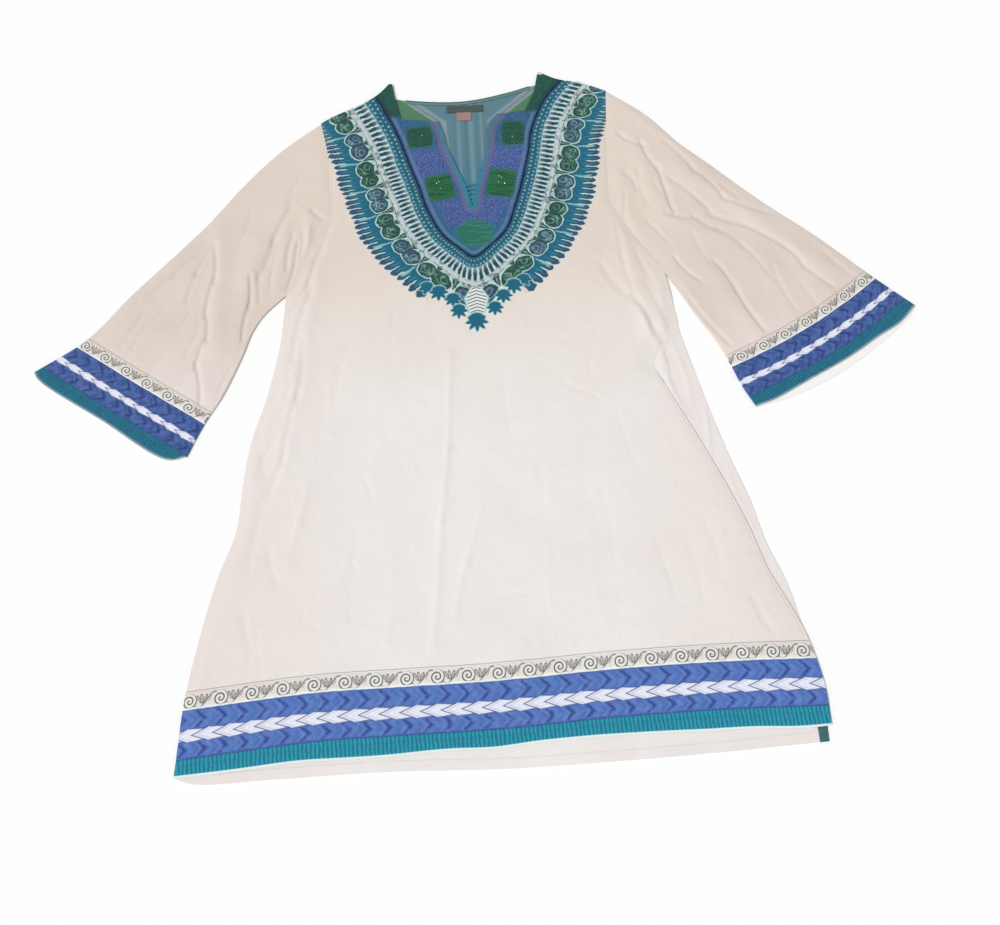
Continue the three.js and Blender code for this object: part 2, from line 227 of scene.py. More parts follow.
FRONT_FOLDS = folds(
    (-42, 540, -60, 309, 12, 0.5), (-60, 320, -77, 105, 12, 0.45), (-14, 275, -56, 150, 12, 0.3),
    (-214, 600, -251, 353, 14, 1.7), (-218, 325, -240, 225, 12, 0.7), (190, 660, 206, 500, 13, 1.5),
    (118, 430, 168, 150, 30, 0.5), (-190, 230, -205, 45, 28, 0.5), (262, 260, 292, 75, 24, 0.7),
    (40, 500, 62, 300, 26, 0.4), (-142, 560, -150, 380, 26, 0.5), (232, 560, 240, 500, 12, 1),
    (-282, 420, -310, 150, 18, 0.8), (-262, 500, -284, 330, 12, 0.8), (-330, 190, -342, 60, 12, 0.7),
)
FRONT_CREASES = folds(
    # pressed lines down the skirt
    (-44, 480, -52, 350, 2.8, 1, 0, -0.6), (-52, 354, -63, 262, 2.8, 1.2, 0, -0.6),
    (-63, 266, -78, 116, 2.8, 1.1, -1, -0.6), (-15, 272, -36, 208, 2.8, 1, 2, -0.6),
    (-36, 212, -51, 146, 2.8, 0.8, 2, -0.6), (-221, 314, -231, 266, 2.8, 0.9, 0, -0.6),
    (-231, 272, -243, 220, 2.8, 0.7, 0, -0.6), (-128, 404, -100, 432, 2.6, -1),
    (-104, 334, -84, 350, 2.6, -0.9), (-150, 316, -140, 288, 3, -0.5),
    # below the left underarm and down that side
    (-197, 672, -206, 636, 3, -1.4, 1, -0.3), (-206, 640, -222, 588, 3, -1.5, 2, -0.3),
    (-222, 592, -246, 548, 3, -1.5, -2), (-208, 646, -220, 575, 5, -1.2, 2),
    (-220, 580, -240, 486, 5, -1.6, 3, -0.4), (-228, 508, -234, 430, 3.4, -1.3, -2, -0.3),
    (-234, 434, -250, 350, 3.2, -1.3, 2, -0.3), (-248, 354, -264, 306, 3, -1),
    (-256, 442, -273, 404, 2.8, -1.1, 2), (-276, 388, -270, 330, 3, -0.8, 3),
    (-260, 374, -281, 328, 2.6, -0.9, 2), (-256, 332, -277, 294, 2.6, -0.9),
    (-264, 240, -253, 196, 2.8, -1.2, 2), (-292, 160, -282, 104, 2.8, -1.2, -3),
    (-334, 154, -340, 96, 2.8, -1), (-277, 142, -271, 102, 2.6, -0.8),
    (-244, 460, -252, 404, 2.6, -0.7, -3), (-266, 300, -286, 214, 3, -0.7, 4),
    # below the right underarm
    (178, 704, 200, 640, 3, -1, 2), (184, 662, 188, 606, 3.4, -0.9), (187, 610, 202, 540, 3.4, -1, 2),
    (160, 598, 196, 544, 4.6, -1.2, 4), (195, 550, 216, 498, 3.8, -1.8, -2, -0.3),
    (215, 502, 226, 466, 3.4, -1.5), (214, 568, 240, 486, 3.2, -1.1, -3),
    (205, 620, 226, 560, 3, -0.9, 2),
    # faint ones over the rest
    (96, 434, 142, 408, 2.8, -0.6), (292, 154, 310, 110, 3, -0.9, 2), (190, 226, 206, 150, 3, -0.5),
    (226, 238, 236, 150, 3, -0.5), (2, 168, 52, 173, 2.6, -0.5), (84, 502, 106, 491, 2.6, -0.6),
    (60, 330, 66, 236, 3, -0.35, 3), (130, 300, 138, 196, 3, -0.35, -3),
    (-160, 250, -168, 150, 3, -0.35, 3), (20, 446, 26, 372, 3, -0.35), (62, 246, 60, 150, 3, 0.4),
    (110, 240, 120, 130, 3.2, 0.4, 3), (-112, 540, -118, 470, 3, -0.4),
    (-120, 230, -128, 120, 3.2, 0.4, -3), (-170, 500, -188, 420, 3.2, -0.5, 3),
    (150, 520, 130, 450, 3.2, -0.4, 3), (160, 380, 176, 320, 3, -0.4),
    (248, 250, 262, 180, 3.2, -0.5, -2), (-200, 420, -206, 350, 3, -0.4), (40, 130, 46, 100, 3, 0.4),
)
FLANK_RIDGES = folds(
    # on the cloth that is pressed onto the back below the right underarm
    (199, 546, 211, 508, 5, 1.4, 1, 0.4), (208, 516, 224, 474, 4.6, 2, 1, 0.4),
    (228, 512, 240, 462, 4.6, 1, 1, 0.2),
)
BACK_CREASES = folds(
    (224, 484, 226, 444, 4.4, 1.8, 1, 0.4), (226, 452, 230, 412, 4.2, 1.8, 1, 0.4),
    (230, 420, 240, 392, 3.6, 1.1, 1, 0.3), (268, 380, 264, 324, 3, 0.9, -2, 0.3),
    (240, 470, 252, 400, 3.2, 0.6, -3), (240, 416, 262, 452, 3, 0.5, 2), (232, 440, 258, 470, 3, 0.4),
    (286, 300, 304, 236, 3, 0.5, 2),
)
SLEEVE_FOLDS = {
    Side.LEFT: folds(
        (-256, 705, -296, 605, 13, 1.6), (-338, 665, -338, 515, 13, 1.9), (-372, 600, -442, 500, 14, 1.6),
        (-392, 637, -468, 548, 12, 1.5), (-290, 655, -312, 530, 12, 1.4), (-330, 520, -372, 420, 16, 1.4),
        (-450, 530, -500, 455, 18, 1.4), (-222, 690, -224, 606, 8, 1.3), (-252, 668, -262, 590, 9, 1.2),
        (-366, 520, -410, 440, 16, 1),
    ),
    Side.RIGHT: folds(
        (222, 778, 244, 692, 15, 1.8), (262, 660, 322, 626, 12, 1.3), (276, 742, 362, 664, 13, 1.9),
        (366, 660, 446, 580, 13, 1.6), (306, 570, 344, 488, 13, 1.5), (372, 600, 400, 500, 15, 1.2),
        (440, 540, 480, 480, 17, 1.4), (196, 730, 208, 640, 10, 1.2), (262, 560, 290, 490, 10, 1),
        (230, 840, 330, 740, 12, 1),
    ),
}
SLEEVE_CREASES = {
    Side.LEFT: folds(
        (-246, 706, -268, 656, 4, -1.6, 2, -0.3), (-268, 660, -286, 604, 4.4, -1.6, -3, -0.3),
        (-286, 608, -284, 570, 3, -0.9), (-297, 604, -297, 560, 2.8, -2, -1, -0.3),
        (-297, 564, -304, 516, 3.2, -1.7, 2, -0.3), (-345, 654, -343, 600, 2.8, -1.9, -2, -0.3),
        (-343, 604, -352, 552, 3.2, -2.2, 2, -0.3), (-352, 556, -349, 516, 3, -2.1, -2, -0.3),
        (-349, 520, -361, 480, 3, -1.9, 2, -0.3), (-361, 484, -353, 428, 2.8, -1.5, -2, -0.3),
        (-347, 650, -366, 612, 2.4, -1.6, 2), (-366, 616, -377, 574, 2.4, -1.2),
        (-350, 652, -394, 612, 2.6, -1.4, 3), (-394, 616, -440, 572, 2.6, -1.2, -2),
        (-440, 576, -497, 514, 2.6, -1.4, 3), (-416, 550, -441, 510, 2.6, -1.3, 3),
        (-430, 564, -457, 514, 2.6, -1, -2), (-404, 568, -414, 546, 2.4, -0.8),
        (-360, 526, -374, 498, 2.6, -1), (-372, 558, -385, 528, 2.4, -0.8),
        (-218, 702, -202, 717, 2.4, -1.3), (-218, 703, -203, 688, 2.4, -1.6, 1),
        (-222, 672, -223, 612, 2.8, 1.5, 0, -0.5), (-229, 668, -232, 610, 3, -1.7),
        (-243, 664, -250, 616, 3, -1.4, 2), (-236, 652, -241, 610, 2.6, -1.6),
        (-237, 620, -248, 586, 2.6, -2.6), (-318, 472, -333, 430, 2.8, -1, 2),
        (-232, 760, -250, 706, 3, -0.7, 3), (-300, 700, -318, 640, 3, -0.6, -3),
        (-482, 520, -516, 474, 2.8, -0.9, 2), (-400, 500, -424, 448, 3, -0.8, 3),
        (-444, 500, -470, 452, 2.8, -0.7, -2), (-262, 640, -270, 590, 2.8, -0.9, 2),
    ),
    Side.RIGHT: folds(
        (202, 803, 232, 783, 2.8, -1.8, 3), (230, 787, 248, 742, 3, -2.1, 3, -0.3),
        (248, 746, 256, 702, 3, -2, 0, -0.3), (256, 706, 262, 674, 3, -2.3, 1, -0.3),
        (252, 672, 290, 664, 2.8, -1.8, 3), (288, 667, 320, 642, 2.8, -1.6, 3),
        (318, 645, 347, 615, 2.6, -1.2, -2), (262, 727, 300, 686, 2.8, -1.7, -3),
        (299, 690, 312, 667, 2.8, -2, -2), (309, 669, 350, 650, 3, -2.3, 2),
        (349, 651, 404, 610, 3, -2.3, -2), (403, 612, 422, 582, 2.8, -1.9, -2),
        (421, 586, 453, 551, 2.8, -1.8, 2), (262, 787, 298, 736, 2.8, -1.3, -3),
        (297, 740, 332, 690, 2.8, -1.5, -3), (331, 692, 402, 661, 3, -1.8, 3),
        (306, 595, 328, 552, 3, -1.9, -2, -0.3), (327, 556, 355, 494, 3.2, -2.3, 2, -0.3),
        (256, 603, 284, 569, 2.8, -1.5, 3), (268, 539, 307, 479, 3.2, -1.8, 2),
        (345, 619, 379, 564, 2.6, -1, -2), (380, 583, 399, 522, 2.6, -1.1, 2),
        (204, 737, 216, 713, 3, -1.3, -4), (200, 705, 196, 670, 2.6, -1.1),
        (214, 624, 239, 573, 2.8, -1.7, 2), (330, 713, 353, 687, 2.4, -0.9),
        (222, 745, 228, 690, 3, -0.7, 3), (226, 660, 250, 628, 2.8, -0.9),
        (282, 640, 300, 596, 3, -0.7, 2), (412, 560, 430, 520, 2.8, -0.8),
        (452, 600, 486, 560, 2.8, -1, 2), (230, 842, 262, 806, 2.8, -1, 3),
        (240, 720, 250, 700, 2.6, -0.7),
    ),
}

# ---- the neck print: a row for each motif, from the navy line (inner) to the print's edge (outer) ----
NECK_STATIONS = (
    # step, inner x, inner y, outer x, outer y
    (-8, -149, 917, -235, 856),
    (-7, -126, 874, -217, 821),
    (-6, -102, 819, -198, 791),
    (-5, -87, 770, -184, 740),
    (-4, -75, 732, -171, 700),
    (-3, -64, 694, -157, 657),
    (-2, -46, 656, -129, 614),
    (-1, -24, 633, -87, 569),
    (0, -6, 620, -7, 512),
    (1, 17, 637, 75, 571),
    (2, 38, 660, 118, 620),
    (3, 53, 699, 143, 663),
    (4, 64, 736, 160, 707),
    (5, 74, 777, 171, 756),
    (6, 83, 822, 181, 806),
    (7, 106, 872, 195, 834),
    (8, 139, 910, 221, 884),
)


# ---- geometry helpers ----
STRETCH = 60  # fine points on each stretch of a smooth line
FINE = 2400  # fine points on a whole line, when its own points are looked for
NECK_RAYS = 641  # lines across the neck print, between which places are measured
NECK_HALF_WIDTH = 270  # places further out than this aren't in the neck print
NECK_FOOT = 470  # nor are those lower than this
AT_ONCE = 4000  # places measured at a time, to save memory
TINY = 1e-9  # keeps a division from failing


def smooth(line: Line, steps: int | Points) -> Points:
    """Place points along a smooth line through a cut line's points.

    Args:
        line: The cut line.
        steps: Number of equal stretches, or the shares of the length at which points are wanted.

    Returns:
        One (x, y) row for each point.
    """
    p = np.array(line, float)
    ends = np.vstack([2 * p[0] - p[1], p, 2 * p[-1] - p[-2]])
    dense = [p[:1]]
    t = np.linspace(0, 1, STRETCH + 1)[1:, None]
    for before, start, end, after in zip(ends[:-3], ends[1:-2], ends[2:-1], ends[3:], strict=True):
        pairs = ((before, start), (start, end), (end, after))
        d0, d1, d2 = (math.sqrt(max(math.dist(a, b), 1e-6)) for a, b in pairs)
        t1 = ((start - before) / d0 - (end - before) / (d0 + d1) + (end - start) / d1) * d1
        t2 = ((end - start) / d1 - (after - start) / (d1 + d2) + (after - end) / d2) * d1
        square, cube = 3 * (end - start) - 2 * t1 - t2, 2 * (start - end) + t1 + t2
        dense.append(start + t1 * t + square * t**2 + cube * t**3)
    return along(np.vstack(dense), steps)


def along(line: Line | Points, steps: int | Points) -> Points:
    """Place points along straight stretches, by length.

    Args:
        line: The corners.
        steps: Number of equal stretches, or the shares of the length.

    Returns:
        One (x, y) row for each point.
    """
    p = np.array(line, float)
    run = np.concatenate([[0], np.cumsum(np.hypot(*np.diff(p, axis=0).T))])
    shares = np.linspace(0, 1, steps + 1) if isinstance(steps, int) else np.asarray(steps)
    return np.stack([np.interp(shares * run[-1], run, p[:, axis]) for axis in (0, 1)], axis=1)


def joined(*lines: Points) -> Points:
    """Join lines end to end, keeping each shared end once."""
    return np.vstack([lines[0], *(line[1:] for line in lines[1:])])


def patch(left: Points, right: Points, bottom: Points, top: Points) -> Points:
    """Fill four lines with a grid.

    Args:
        left: Start of every row.
        right: End of every row.
        bottom: The first row.
        top: The last row.

    Returns:
        Grid of shape (rows, columns, 2).
    """
    v = np.linspace(0, 1, len(left))[:, None, None]
    u = np.linspace(0, 1, len(bottom))[None, :, None]
    sides = (1 - u) * left[:, None] + u * right[:, None]
    ends = (1 - v) * bottom[None] + v * top[None]
    low = (1 - u) * (1 - v) * bottom[0] + u * (1 - v) * bottom[-1]
    return sides + ends - (low + (1 - u) * v * top[0] + u * v * top[-1])


def lift_of(folds: Sequence[Fold], p: Points) -> Points:
    """Height that folds add over places on the cloth.

    Args:
        folds: The folds that cross this cloth.
        p: Places, with x and y on the last axis.

    Returns:
        Heights in millimetres.
    """
    total = np.zeros(p.shape[:-1])
    for one in folds:
        dx, dy = one.x2 - one.x1, one.y2 - one.y1
        length = math.hypot(dx, dy)
        run = ((p[..., 0] - one.x1) * dx + (p[..., 1] - one.y1) * dy) / length
        share = np.clip(run / length, 0, 1)
        off = ((p[..., 0] - one.x1) * dy - (p[..., 1] - one.y1) * dx) / length
        off = off - one.bow * 4 * share * (1 - share)
        past = np.maximum(0, np.maximum(-run, run - length)) * 0.6
        width = one.width * np.where(off > 0, 1 + one.lean, 1 - one.lean)
        total += one.lift * np.exp(-(off**2) / width**2 - past**2 / one.width**2)
    return total


def distance_to(line: Line | Points, p: Points) -> Points:
    """Shortest distance from places to a line of straight stretches.

    Args:
        line: The corners.
        p: Places, shape (count, 2).

    Returns:
        One distance for each place.
    """
    corners = np.array(line, float)
    best = np.full(len(p), np.inf)
    for start, end in zip(corners[:-1], corners[1:], strict=True):
        way = end - start
        share = np.clip((p - start) @ way / max(way @ way, TINY), 0, 1)
        best = np.minimum(best, np.hypot(*(p - start - share[:, None] * way).T))
    return best


def evened(line: Line, count: Points) -> Points:
    """Place points on a smooth line so that each of its own points falls on a whole step.

    Args:
        line: The cut line, a point for each step.
        count: The steps wanted, from 0 to the number of points less one.

    Returns:
        One (x, y) row for each step.
    """
    dense = smooth(line, FINE)
    marks = [int(np.argmin(np.hypot(*(dense - q).T))) / FINE for q in np.array(line, float)]
    return smooth(line, np.interp(count, np.arange(len(marks)), marks))


def inside(loop: Points, p: Points) -> Points:
    """Tell which places lie inside a closed line.

    Args:
        loop: Corners of the line, of which the last is joined to the first.
        p: Places, shape (count, 2).

    Returns:
        True or False for each place.
    """
    x, y = p[:, 0], p[:, 1]
    odd = np.zeros(len(p), bool)
    for (x1, y1), (x2, y2) in zip(loop, np.roll(loop, -1, axis=0), strict=True):
        if y1 != y2:
            odd ^= ((y1 > y) != (y2 > y)) & (x < (x2 - x1) * (y - y1) / (y2 - y1) + x1)
    return odd


def neck_place(p: Points) -> Points:
    """Find where places lie in the neck print.

    Args:
        p: Places, shape (count, 2).

    Returns:
        For each place, the motif count along the print and the share of its depth: negative inside
        the yoke and 9 far outside.
    """
    rows = np.array(NECK_STATIONS, float)
    fine = np.linspace(0, len(rows) - 1, NECK_RAYS)
    inner, outer = evened(rows[:, 1:3], fine), evened(rows[:, 3:5], fine)
    count = rows[0, 0] + fine
    way = outer - inner
    place = np.full((len(p), 2), 9.0)
    place[inside(inner, p)] = (0.0, -0.5)
    near = np.flatnonzero((np.abs(p[:, 0]) < NECK_HALF_WIDTH) & (p[:, 1] > NECK_FOOT))
    for chunk in np.array_split(near, max(1, len(near) // AT_ONCE)):
        q = p[chunk][:, None] - inner[None]
        turn = way[None, :, 0] * q[..., 1] - way[None, :, 1] * q[..., 0]
        depth = (q * way[None]).sum(-1) / (way**2).sum(-1)[None]
        crossed = (turn[:, :-1] * turn[:, 1:] <= 0) & (depth[:, :-1] > -0.3) & (depth[:, :-1] < 1.5)
        each = np.arange(len(chunk))
        first = np.argmax(np.where(crossed, 2 - np.abs(depth[:, :-1]), -1), axis=1)
        found = crossed[each, first]
        a, b = turn[each, first], turn[each, first + 1]
        share = np.where(found, a / np.where(np.abs(a - b) < 1e-12, 1, a - b), 0)
        step = count[first] + share * (count[1] - count[0])
        deep = depth[each, first] * (1 - share) + depth[each, first + 1] * share
        place[chunk[found]] = np.stack([step, deep], axis=1)[found]
    return place


def dropped(line: Points, cloth: BVHTree, above: float) -> Points:
    """Drop a line onto a cloth.

    Args:
        line: Points as (x, y).
        cloth: Upper face of the cloth.
        above: How far above the cloth the line is kept.

    Returns:
        Points as (x, y, z); past the cloth's edge they lie at the height of two layers.
    """
    hits = [cloth.ray_cast(Vector((x, y, ABOVE)), Vector((0, 0, -1)))[0] for x, y in line]
    return np.column_stack([line, np.array([hit.z if hit else PILE for hit in hits]) + above])


LABEL_MIDDLE = (-8.0, 857.5)


@dataclass
class Frame:
    """Where the maker's millimetres lie in the row's frame."""

    shift: tuple[float, float] = (0.0, 0.0)

    @classmethod
    def from_label(cls) -> "Frame":
        """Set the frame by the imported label, whose middle has a known place."""
        low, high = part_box("neck_label")
        return cls(tuple((low[k] + high[k]) / 2 / MM - LABEL_MIDDLE[k] for k in (0, 1)))

    def metres(self, p: Points) -> Points:
        """Turn (x, y, z) millimetres into the row's metres."""
        return (np.asarray(p, float) + np.array([*self.shift, 0.0])) * MM


# ---- meshes ----
SHARP = 55.0  # degrees past which an edge is shaded sharp, so that a cut doesn't darken the cloth beside it


def make_piece(name: str, vertices: Points, faces: Points | list, frame: Frame) -> Object:
    """Make a smooth-shaded piece at the origin.

    Args:
        name: Name of the object.
        vertices: Millimetres in the maker's frame.
        faces: Vertex numbers of each face.
        frame: Where the maker's frame lies.

    Returns:
        The object, linked to the scene.
    """
    mesh = bpy.data.meshes.new(name)
    mesh.from_pydata(frame.metres(vertices).tolist(), [], [list(map(int, f)) for f in faces])
    mesh.update()
    mesh.shade_smooth()
    mesh.set_sharp_from_angle(angle=math.radians(SHARP))
    piece = bpy.data.objects.new(name, mesh)
    bpy.context.collection.objects.link(piece)
    return piece


def give_numbers(piece: Object, name: str, values: Points) -> None:
    """Store a vector for each vertex, for a pattern to read.

    Args:
        piece: The cloth.
        name: Name of the attribute.
        values: Up to three numbers for each vertex.
    """
    rows = np.zeros((len(piece.data.vertices), 3))
    rows[:, : values.shape[1]] = values
    attribute = piece.data.attributes.new(name, "FLOAT_VECTOR", "POINT")
    attribute.data.foreach_set("vector", rows.ravel().astype(np.float32))


@dataclass
class Sheet:
    """Cloth woven from grids that share their edges, closed into a thin shell.

    Attributes:
        places: (x, y) of each upper vertex.
        faces: Upper faces, wound to face up.
        rim: Directed edges that only one face uses.
    """

    places: Points
    faces: Points
    rim: Points

    @classmethod
    def from_grids(cls, grids: Sequence[Points]) -> "Sheet":
        """Weld grids along the points that they share.

        Args:
            grids: Grids of (x, y), each of shape (rows, columns, 2).

        Returns:
            The sheet.
        """
        flat = np.vstack([g.reshape(-1, 2) for g in grids])
        _, first, number = np.unique(np.round(flat, 3), axis=0, return_index=True, return_inverse=True)
        number = number.ravel()
        quads, start = [], 0
        for grid in grids:
            rows, columns = grid.shape[:2]
            at = number[start : start + rows * columns].reshape(rows, columns)
            corners = [at[:-1, :-1], at[:-1, 1:], at[1:, 1:], at[1:, :-1]]
            quads.append(np.stack(corners, axis=-1).reshape(-1, 4))
            start += rows * columns
        faces = np.vstack(quads)
        edges = np.vstack([faces[:, [k, (k + 1) % 4]] for k in range(4)])
        span = len(first) + 1
        used = set((edges[:, 0] * span + edges[:, 1]).tolist())
        rim = np.array([e for e in edges.tolist() if e[1] * span + e[0] not in used])
        return cls(flat[first], faces, rim)

    def shell(self, top: Points, bottom: Points) -> tuple[Points, list[list[int]]]:
        """Close the cloth between two heights.

        Args:
            top: Height of each upper vertex.
            bottom: Height of each lower vertex.

        Returns:
            The shell's vertices, and its faces: the upper ones, the lower ones and the edge.
        """
        count = len(self.places)
        vertices = np.vstack([np.column_stack([self.places, top]), np.column_stack([self.places, bottom])])
        faces = self.faces.tolist() + (self.faces[:, ::-1] + count).tolist()
        faces += [[b, a, a + count, b + count] for a, b in self.rim.tolist()]
        return vertices, faces


# ---- shader helpers ----
def linear(hex_colour: str) -> tuple[float, float, float, float]:
    """Turn an sRGB hex colour such as "#E9E4E0" into linear RGBA."""
    channels = [int(hex_colour[i : i + 2], 16) / 255 for i in (1, 3, 5)]
    return (*(c / 12.92 if c <= 0.04045 else ((c + 0.055) / 1.055) ** 2.4 for c in channels), 1.0)


def add_node(tree: NodeTree, kind: str, settings: dict | None = None, links: dict | None = None) -> Node:
    """Add a node with its settings and links.

    Args:
        tree: Tree that gets the node.
        kind: Blender's name for the type of node.
        settings: Properties of the node.
        links: For each input, by name or number, the socket that feeds it or its plain value.

    Returns:
        The node.
    """
    node = tree.nodes.new(kind)
    for name, value in (settings or {}).items():
        setattr(node, name, value)
    for slot, source in (links or {}).items():
        if isinstance(source, NodeSocket):
            tree.links.new(source, node.inputs[slot])
        else:
            node.inputs[slot].default_value = source
    return node


Number: TypeAlias = "Field | float"


@dataclass(frozen=True)
class Field:
    """A number that varies over the cloth, written as a formula and kept as shader nodes."""

    tree: NodeTree
    socket: NodeSocket

    def formula(self, operation: str, *others: Number, clamp: bool = False) -> "Field":
        """Apply one operation of the Math node, with this number first."""
        return self._apply(operation, (self, *others), clamp)

    def _apply(self, operation: str, terms: Sequence[Number], clamp: bool = False) -> "Field":
        """Apply one operation to terms in the order given.

        Args:
            operation: Operation of the Math node.
            terms: Its inputs, in order.
            clamp: Whether to hold the result between 0 and 1.

        Returns:
            The result.
        """
        links = {i: term.socket if isinstance(term, Field) else float(term) for i, term in enumerate(terms)}
        node = add_node(self.tree, "ShaderNodeMath", {"operation": operation, "use_clamp": clamp}, links)
        return Field(self.tree, node.outputs[0])

    def __add__(self, other: Number) -> "Field":
        """Sum."""
        return self._apply("ADD", (self, other))

    __radd__ = __add__

    def __sub__(self, other: Number) -> "Field":
        """Difference."""
        return self._apply("SUBTRACT", (self, other))

    def __rsub__(self, other: float) -> "Field":
        """Difference from a plain number."""
        return self._apply("SUBTRACT", (other, self))

    def __mul__(self, other: Number) -> "Field":
        """Product."""
        return self._apply("MULTIPLY", (self, other))

    __rmul__ = __mul__

    def __truediv__(self, other: Number) -> "Field":
        """Quotient."""
        return self._apply("DIVIDE", (self, other))

    def __abs__(self) -> "Field":
        """Size without sign."""
        return self.formula("ABSOLUTE")

    def repeat(self, period: float, start: float = 0.0) -> "Field":
        """Distance from the middle of the repeat that a place lies in, from -period/2 to period/2."""
        return ((self - start) / period + 0.5).formula("FRACT") * period - period / 2

    def under(self, edge: Number, soft: float = 0.6) -> "Field":
        """Mark where this number is under an edge.

        Args:
            edge: The edge.
            soft: Width over which the mask fades, with the edge in its middle.

        Returns:
            Mask that is 1 under the edge.
        """
        if isinstance(edge, Field):
            return (edge - self).formula("MULTIPLY_ADD", 1 / soft, 0.5, clamp=True)
        return self.formula("MULTIPLY_ADD", -1 / soft, edge / soft + 0.5, clamp=True)

    def over(self, edge: Number, soft: float = 0.6) -> "Field":
        """Mark where this number is over an edge.

        Args:
            edge: The edge.
            soft: Width over which the mask fades.

        Returns:
            Mask that is 1 over the edge.
        """
        if isinstance(edge, Field):
            return (self - edge).formula("MULTIPLY_ADD", 1 / soft, 0.5, clamp=True)
        return self.formula("MULTIPLY_ADD", 1 / soft, 0.5 - edge / soft, clamp=True)

    def within(self, low: float, high: float, soft: float = 0.6) -> "Field":
        """Mask of a band between two edges."""
        return self.over(low, soft) * self.under(high, soft)

    def line(self, middle: float, width: float, soft: float = 0.6) -> "Field":
        """Mask of a line of a given width."""
        return abs(self - middle).under(width / 2, soft)


def radius(x: Field, y: Field) -> Field:
    """Distance from where both numbers are zero."""
    return (x * x + y * y).formula("SQRT")


@dataclass
class Dye:
    """Colours printed one over another.

    Attributes:
        tree: The material's tree.
        colour: The colour so far, plain or as a socket.
    """

    tree: NodeTree
    colour: NodeSocket | tuple[float, ...]

    def lay(self, hex_colour: str, mask: Field, strength: float = 1.0) -> None:
        """Print a colour.

        Args:
            hex_colour: sRGB colour.
            mask: Where it goes, from 0 to 1.
            strength: How much of it covers what is below.
        """
        share = mask if strength == 1.0 else mask * strength
        inputs = {0: share.socket, 6: self.colour, 7: linear(hex_colour)}
        self.colour = add_node(self.tree, "ShaderNodeMix", {"data_type": "RGBA"}, inputs).outputs[2]


@dataclass(frozen=True)
class Palette:
    """Printing inks and cloth, as sRGB."""

    cloth: str = "#EBE9E5"
    cloth_shade: str = "#E8E1DD"
    # painted shade: darker, warmer cloth towards the sides and the shoulders
    painted_side_shade: str = "#E6DBD6"
    painted_top_shade: str = "#DED0C5"
    # painted shade: the sleeves' cotton is the body's, given darker and warmer
    sleeve: str = "#DFD2C9"
    sleeve_shade: str = "#D7C9BF"
    cloth_inside: str = "#ECEAE8"
    lining: str = "#F5F3F0"
    blue: str = "#4D71B8"
    blue_deep: str = "#2B4088"
    blue_light: str = "#7391D0"
    feather: str = "#E7E9F6"
    feather_line: str = "#5D6796"
    teal: str = "#148CA4"
    teal_deep: str = "#0E5F78"
    teal_light: str = "#38AFC0"
    mint: str = "#9CC6BF"
    # painted highlight along a turned hem's fold
    hem_edge_highlight: str = "#E6F4F3"
    ink: str = "#5C554B"
    cream: str = "#EFEDE9"
    navy: str = "#06184A"
    dots_ground: str = "#155A72"
    bar: str = "#1F4855"
    bar_ground: str = "#ABC8CC"
    ring: str = "#C6C8CC"
    white: str = "#EEF4F1"
    leaf_green: str = "#245C42"
    leaf_slate: str = "#43647E"
    leaf_line: str = "#14343B"
    print_teal: str = "#0B607C"
    print_tip: str = "#2A4C72"
    yoke: str = "#305F88"
    yoke_light: str = "#6684A2"
    yoke_dark: str = "#263F6E"
    yoke_green: str = "#115046"
    green_block: str = "#1C6530"
    oval: str = "#2A7A62"
    purple: str = "#465C9E"
    purple_light: str = "#6E7CBE"
    mauve: str = "#6C5C84"
    slit_teal: str = "#247C96"
    lime: str = "#4E7A5A"
    turned_corner: str = "#3A6468"
    through: str = "#567D89"
    through_pale: str = "#93A9AE"
    through_line: str = "#8B6C84"


INKS = Palette()


def joined_vector(tree: NodeTree, x: Field, y: Field) -> NodeSocket:
    """Put two fields into one vector."""
    return add_node(tree, "ShaderNodeCombineXYZ", None, {0: x.socket, 1: y.socket}).outputs[0]


def begun_material(name: str) -> tuple[Material, NodeSocket]:
    """Start a material with an empty tree.

    Args:
        name: Name of the material.

    Returns:
        The material, and the place on the piece for its patterns to read.
    """
    material = bpy.data.materials.new(name)
    material.use_nodes = True
    material.node_tree.nodes.clear()
    return material, add_node(material.node_tree, "ShaderNodeTexCoord").outputs["Object"]


def ended_material(material: Material, shown: str, surface: dict) -> Material:
    """End a material with its surface.

    Args:
        material: The material.
        shown: sRGB colour for a plain view without its nodes.
        surface: Inputs of the surface, plain or as sockets.

    Returns:
        The same material.
    """
    lit = add_node(material.node_tree, "ShaderNodeBsdfPrincipled", None, surface)
    add_node(material.node_tree, "ShaderNodeOutputMaterial", None, {0: lit.outputs[0]})
    material.diffuse_color = linear(shown)
    return material


def read_numbers(tree: NodeTree, name: str) -> tuple[Field, Field, Field]:
    """Read a vector that the cloth's vertices hold.

    Args:
        tree: The material's tree.
        name: Name of the attribute.

    Returns:
        Its three numbers.
    """
    source = add_node(tree, "ShaderNodeAttribute", {"attribute_name": name})
    split = add_node(tree, "ShaderNodeSeparateXYZ", None, {0: source.outputs["Vector"]})
    return tuple(Field(tree, output) for output in split.outputs)


